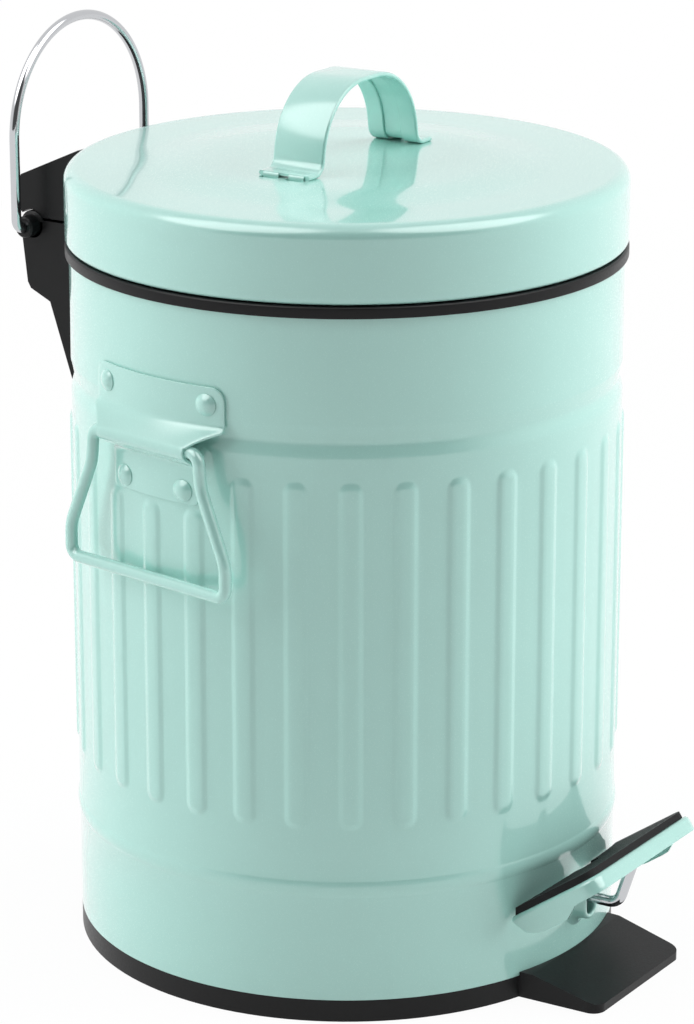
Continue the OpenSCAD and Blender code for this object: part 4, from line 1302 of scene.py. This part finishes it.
# Where a point at this distance from the axis, on the bin's floor plan, lies along the pedal
def alongPedal(p, distance):
    return (p["reach"] - distance) / math.cos(math.radians(p["tilt"]))


# The pedal's outline in its own plane, from one end at the body round the front to the other
def pedalOutline(p, half, inset):
    r = p["corner"] - inset
    rear = alongPedal(p, math.sqrt((bodyRadius + p["gap"]) ** 2 - half ** 2))
    sideSteps, frontSteps = 12, 4
    side = [(-half, rear + (r + inset - rear) * k / sideSteps) for k in range(sideSteps)]
    corner = arc((-half + r, r + inset), r, 180, 270, 8)
    front = [(-half + r + (half - r) * k / frontSteps, inset) for k in range(1, frontSteps)]
    left = side + corner + front
    return left + [(0, inset)] + [(-x, y) for x, y in reversed(left)]


def pedalRear(p, half):
    line = []
    steps = 40
    for k in range(1, steps):
        x = half * (1 - 2 * k / steps)
        distance = math.sqrt((bodyRadius + p["gap"]) ** 2 - x ** 2)
        if abs(x) < p["notch"]:
            distance = bodyRadius + p["notchOut"]
        line.append((x, alongPedal(p, distance)))
    return line


def flangeDepth(p, y, rear):
    t = clamp((y - p["lobeStart"]) / p["lobeRun"])
    depth = p["front"] + (p["lobe"] - p["front"]) * t * t * (3 - 2 * t)
    t = clamp((y - (rear - p["rearRun"])) / p["rearRun"])
    least = p["sheet"] + p["rearLeast"]
    return least + (depth - least) * math.sqrt(max(0, 1 - t * t))


def buildPedalPlate(p):
    place = pedalPlace(p)
    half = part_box("pedal_plate")[1][0]
    b = p["bend"]
    inner = pedalOutline(p, half - b, b)
    outline = pedalOutline(p, half, 0)
    rearY = outline[0][1]
    rows = []
    bendSteps, flangeSteps = 4, 3
    for k in range(bendSteps + 1):
        a = math.radians(90 * k / bendSteps)
        share = math.sin(a)
        rows.append([(i[0] + (o[0] - i[0]) * share, i[1] + (o[1] - i[1]) * share, -b * (1 - math.cos(a)))
                     for i, o in zip(inner, outline)])
    for k in range(1, flangeSteps + 1):
        rows.append([(x, y, -b - max(flangeDepth(p, y, rearY) - b, p["skirtLeast"]) * k / flangeSteps)
                     for x, y in outline])
    count = len(outline)
    points = [place @ Vector(q) for row in rows for q in row]
    start = len(points)
    rear = pedalRear(p, half - b)
    points += [place @ Vector((x, y, 0)) for x, y in rear]
    faces = netFaces(len(rows), count)
    faces.append(list(range(count)) + [start + k for k in range(len(rear))])
    obj = addMesh("pedalPlate", points, faces)
    up = place.to_3x3() @ Vector((0, 0, 1))
    top = max(obj.data.polygons, key=lambda f: f.area)
    thicken(obj, p["sheet"], -1 if top.normal.dot(up) > 0 else 1)
    roundEdges(obj, p["sheetRound"], segments=2, angle=60)
    bakeModifiers(obj, 40)
    finishPiece(obj, "pedal", "mint_paint", paint, "pedal_plate")


def buildPad(p):
    obj = refineNode("pedalPad", "pedal_pad", p["padRound"], segments=2)
    finishPiece(obj, "pedal", "pad_rubber", rubber, "pedal_pad")


def buildPedalWire(p):
    place = pedalPlace(p)
    slope = math.tan(math.radians(p["wireSlope"]))
    rise = math.radians(p["wireRise"])
    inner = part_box("pedal_wire")[1][1]
    knee = Vector((0, -bodyRadius - p["wireRun"], p["wireHeight"] + p["wireRun"] * slope))
    start = Vector((0, inner - p["wireIn"], p["wireHeight"] - (bodyRadius + inner) * slope))
    climb = Vector((0, -math.cos(rise), math.sin(rise)))
    up = place.to_3x3() @ Vector((0, 0, 1))
    under = place @ Vector((0, 0, -p["sheet"]))
    length = (under - knee).dot(up) / climb.dot(up)
    path = roundPath([start, knee, knee + climb * (length - p["wireGap"])], [p["wireBend"]])
    obj = sweep("pedalWire", path, (1, 0, 0), circle(p["wire"] / 2, wireSides))
    bakeModifiers(obj, 50)
    finishPiece(obj, "pedal", "chrome_wire", chrome, "pedal_wire")


buildPedalPlate(pedalSet)
buildPad(pedalSet)
buildPedalWire(pedalSet)
print("pedal built")


# The pieces inside keep their CAD shape

insideMaterials = {
    "lid_clamp_block": plastic, "lid_screws": steel, "housing_screws": steel, "hinge_pin": steel,
    "rocker_pin": steel, "lift_rod": steel, "rod_guides": plastic,
}
for node, material in insideMaterials.items():
    for place in nodes[node].material_slots:
        place.material = material
print("inside pieces finished")
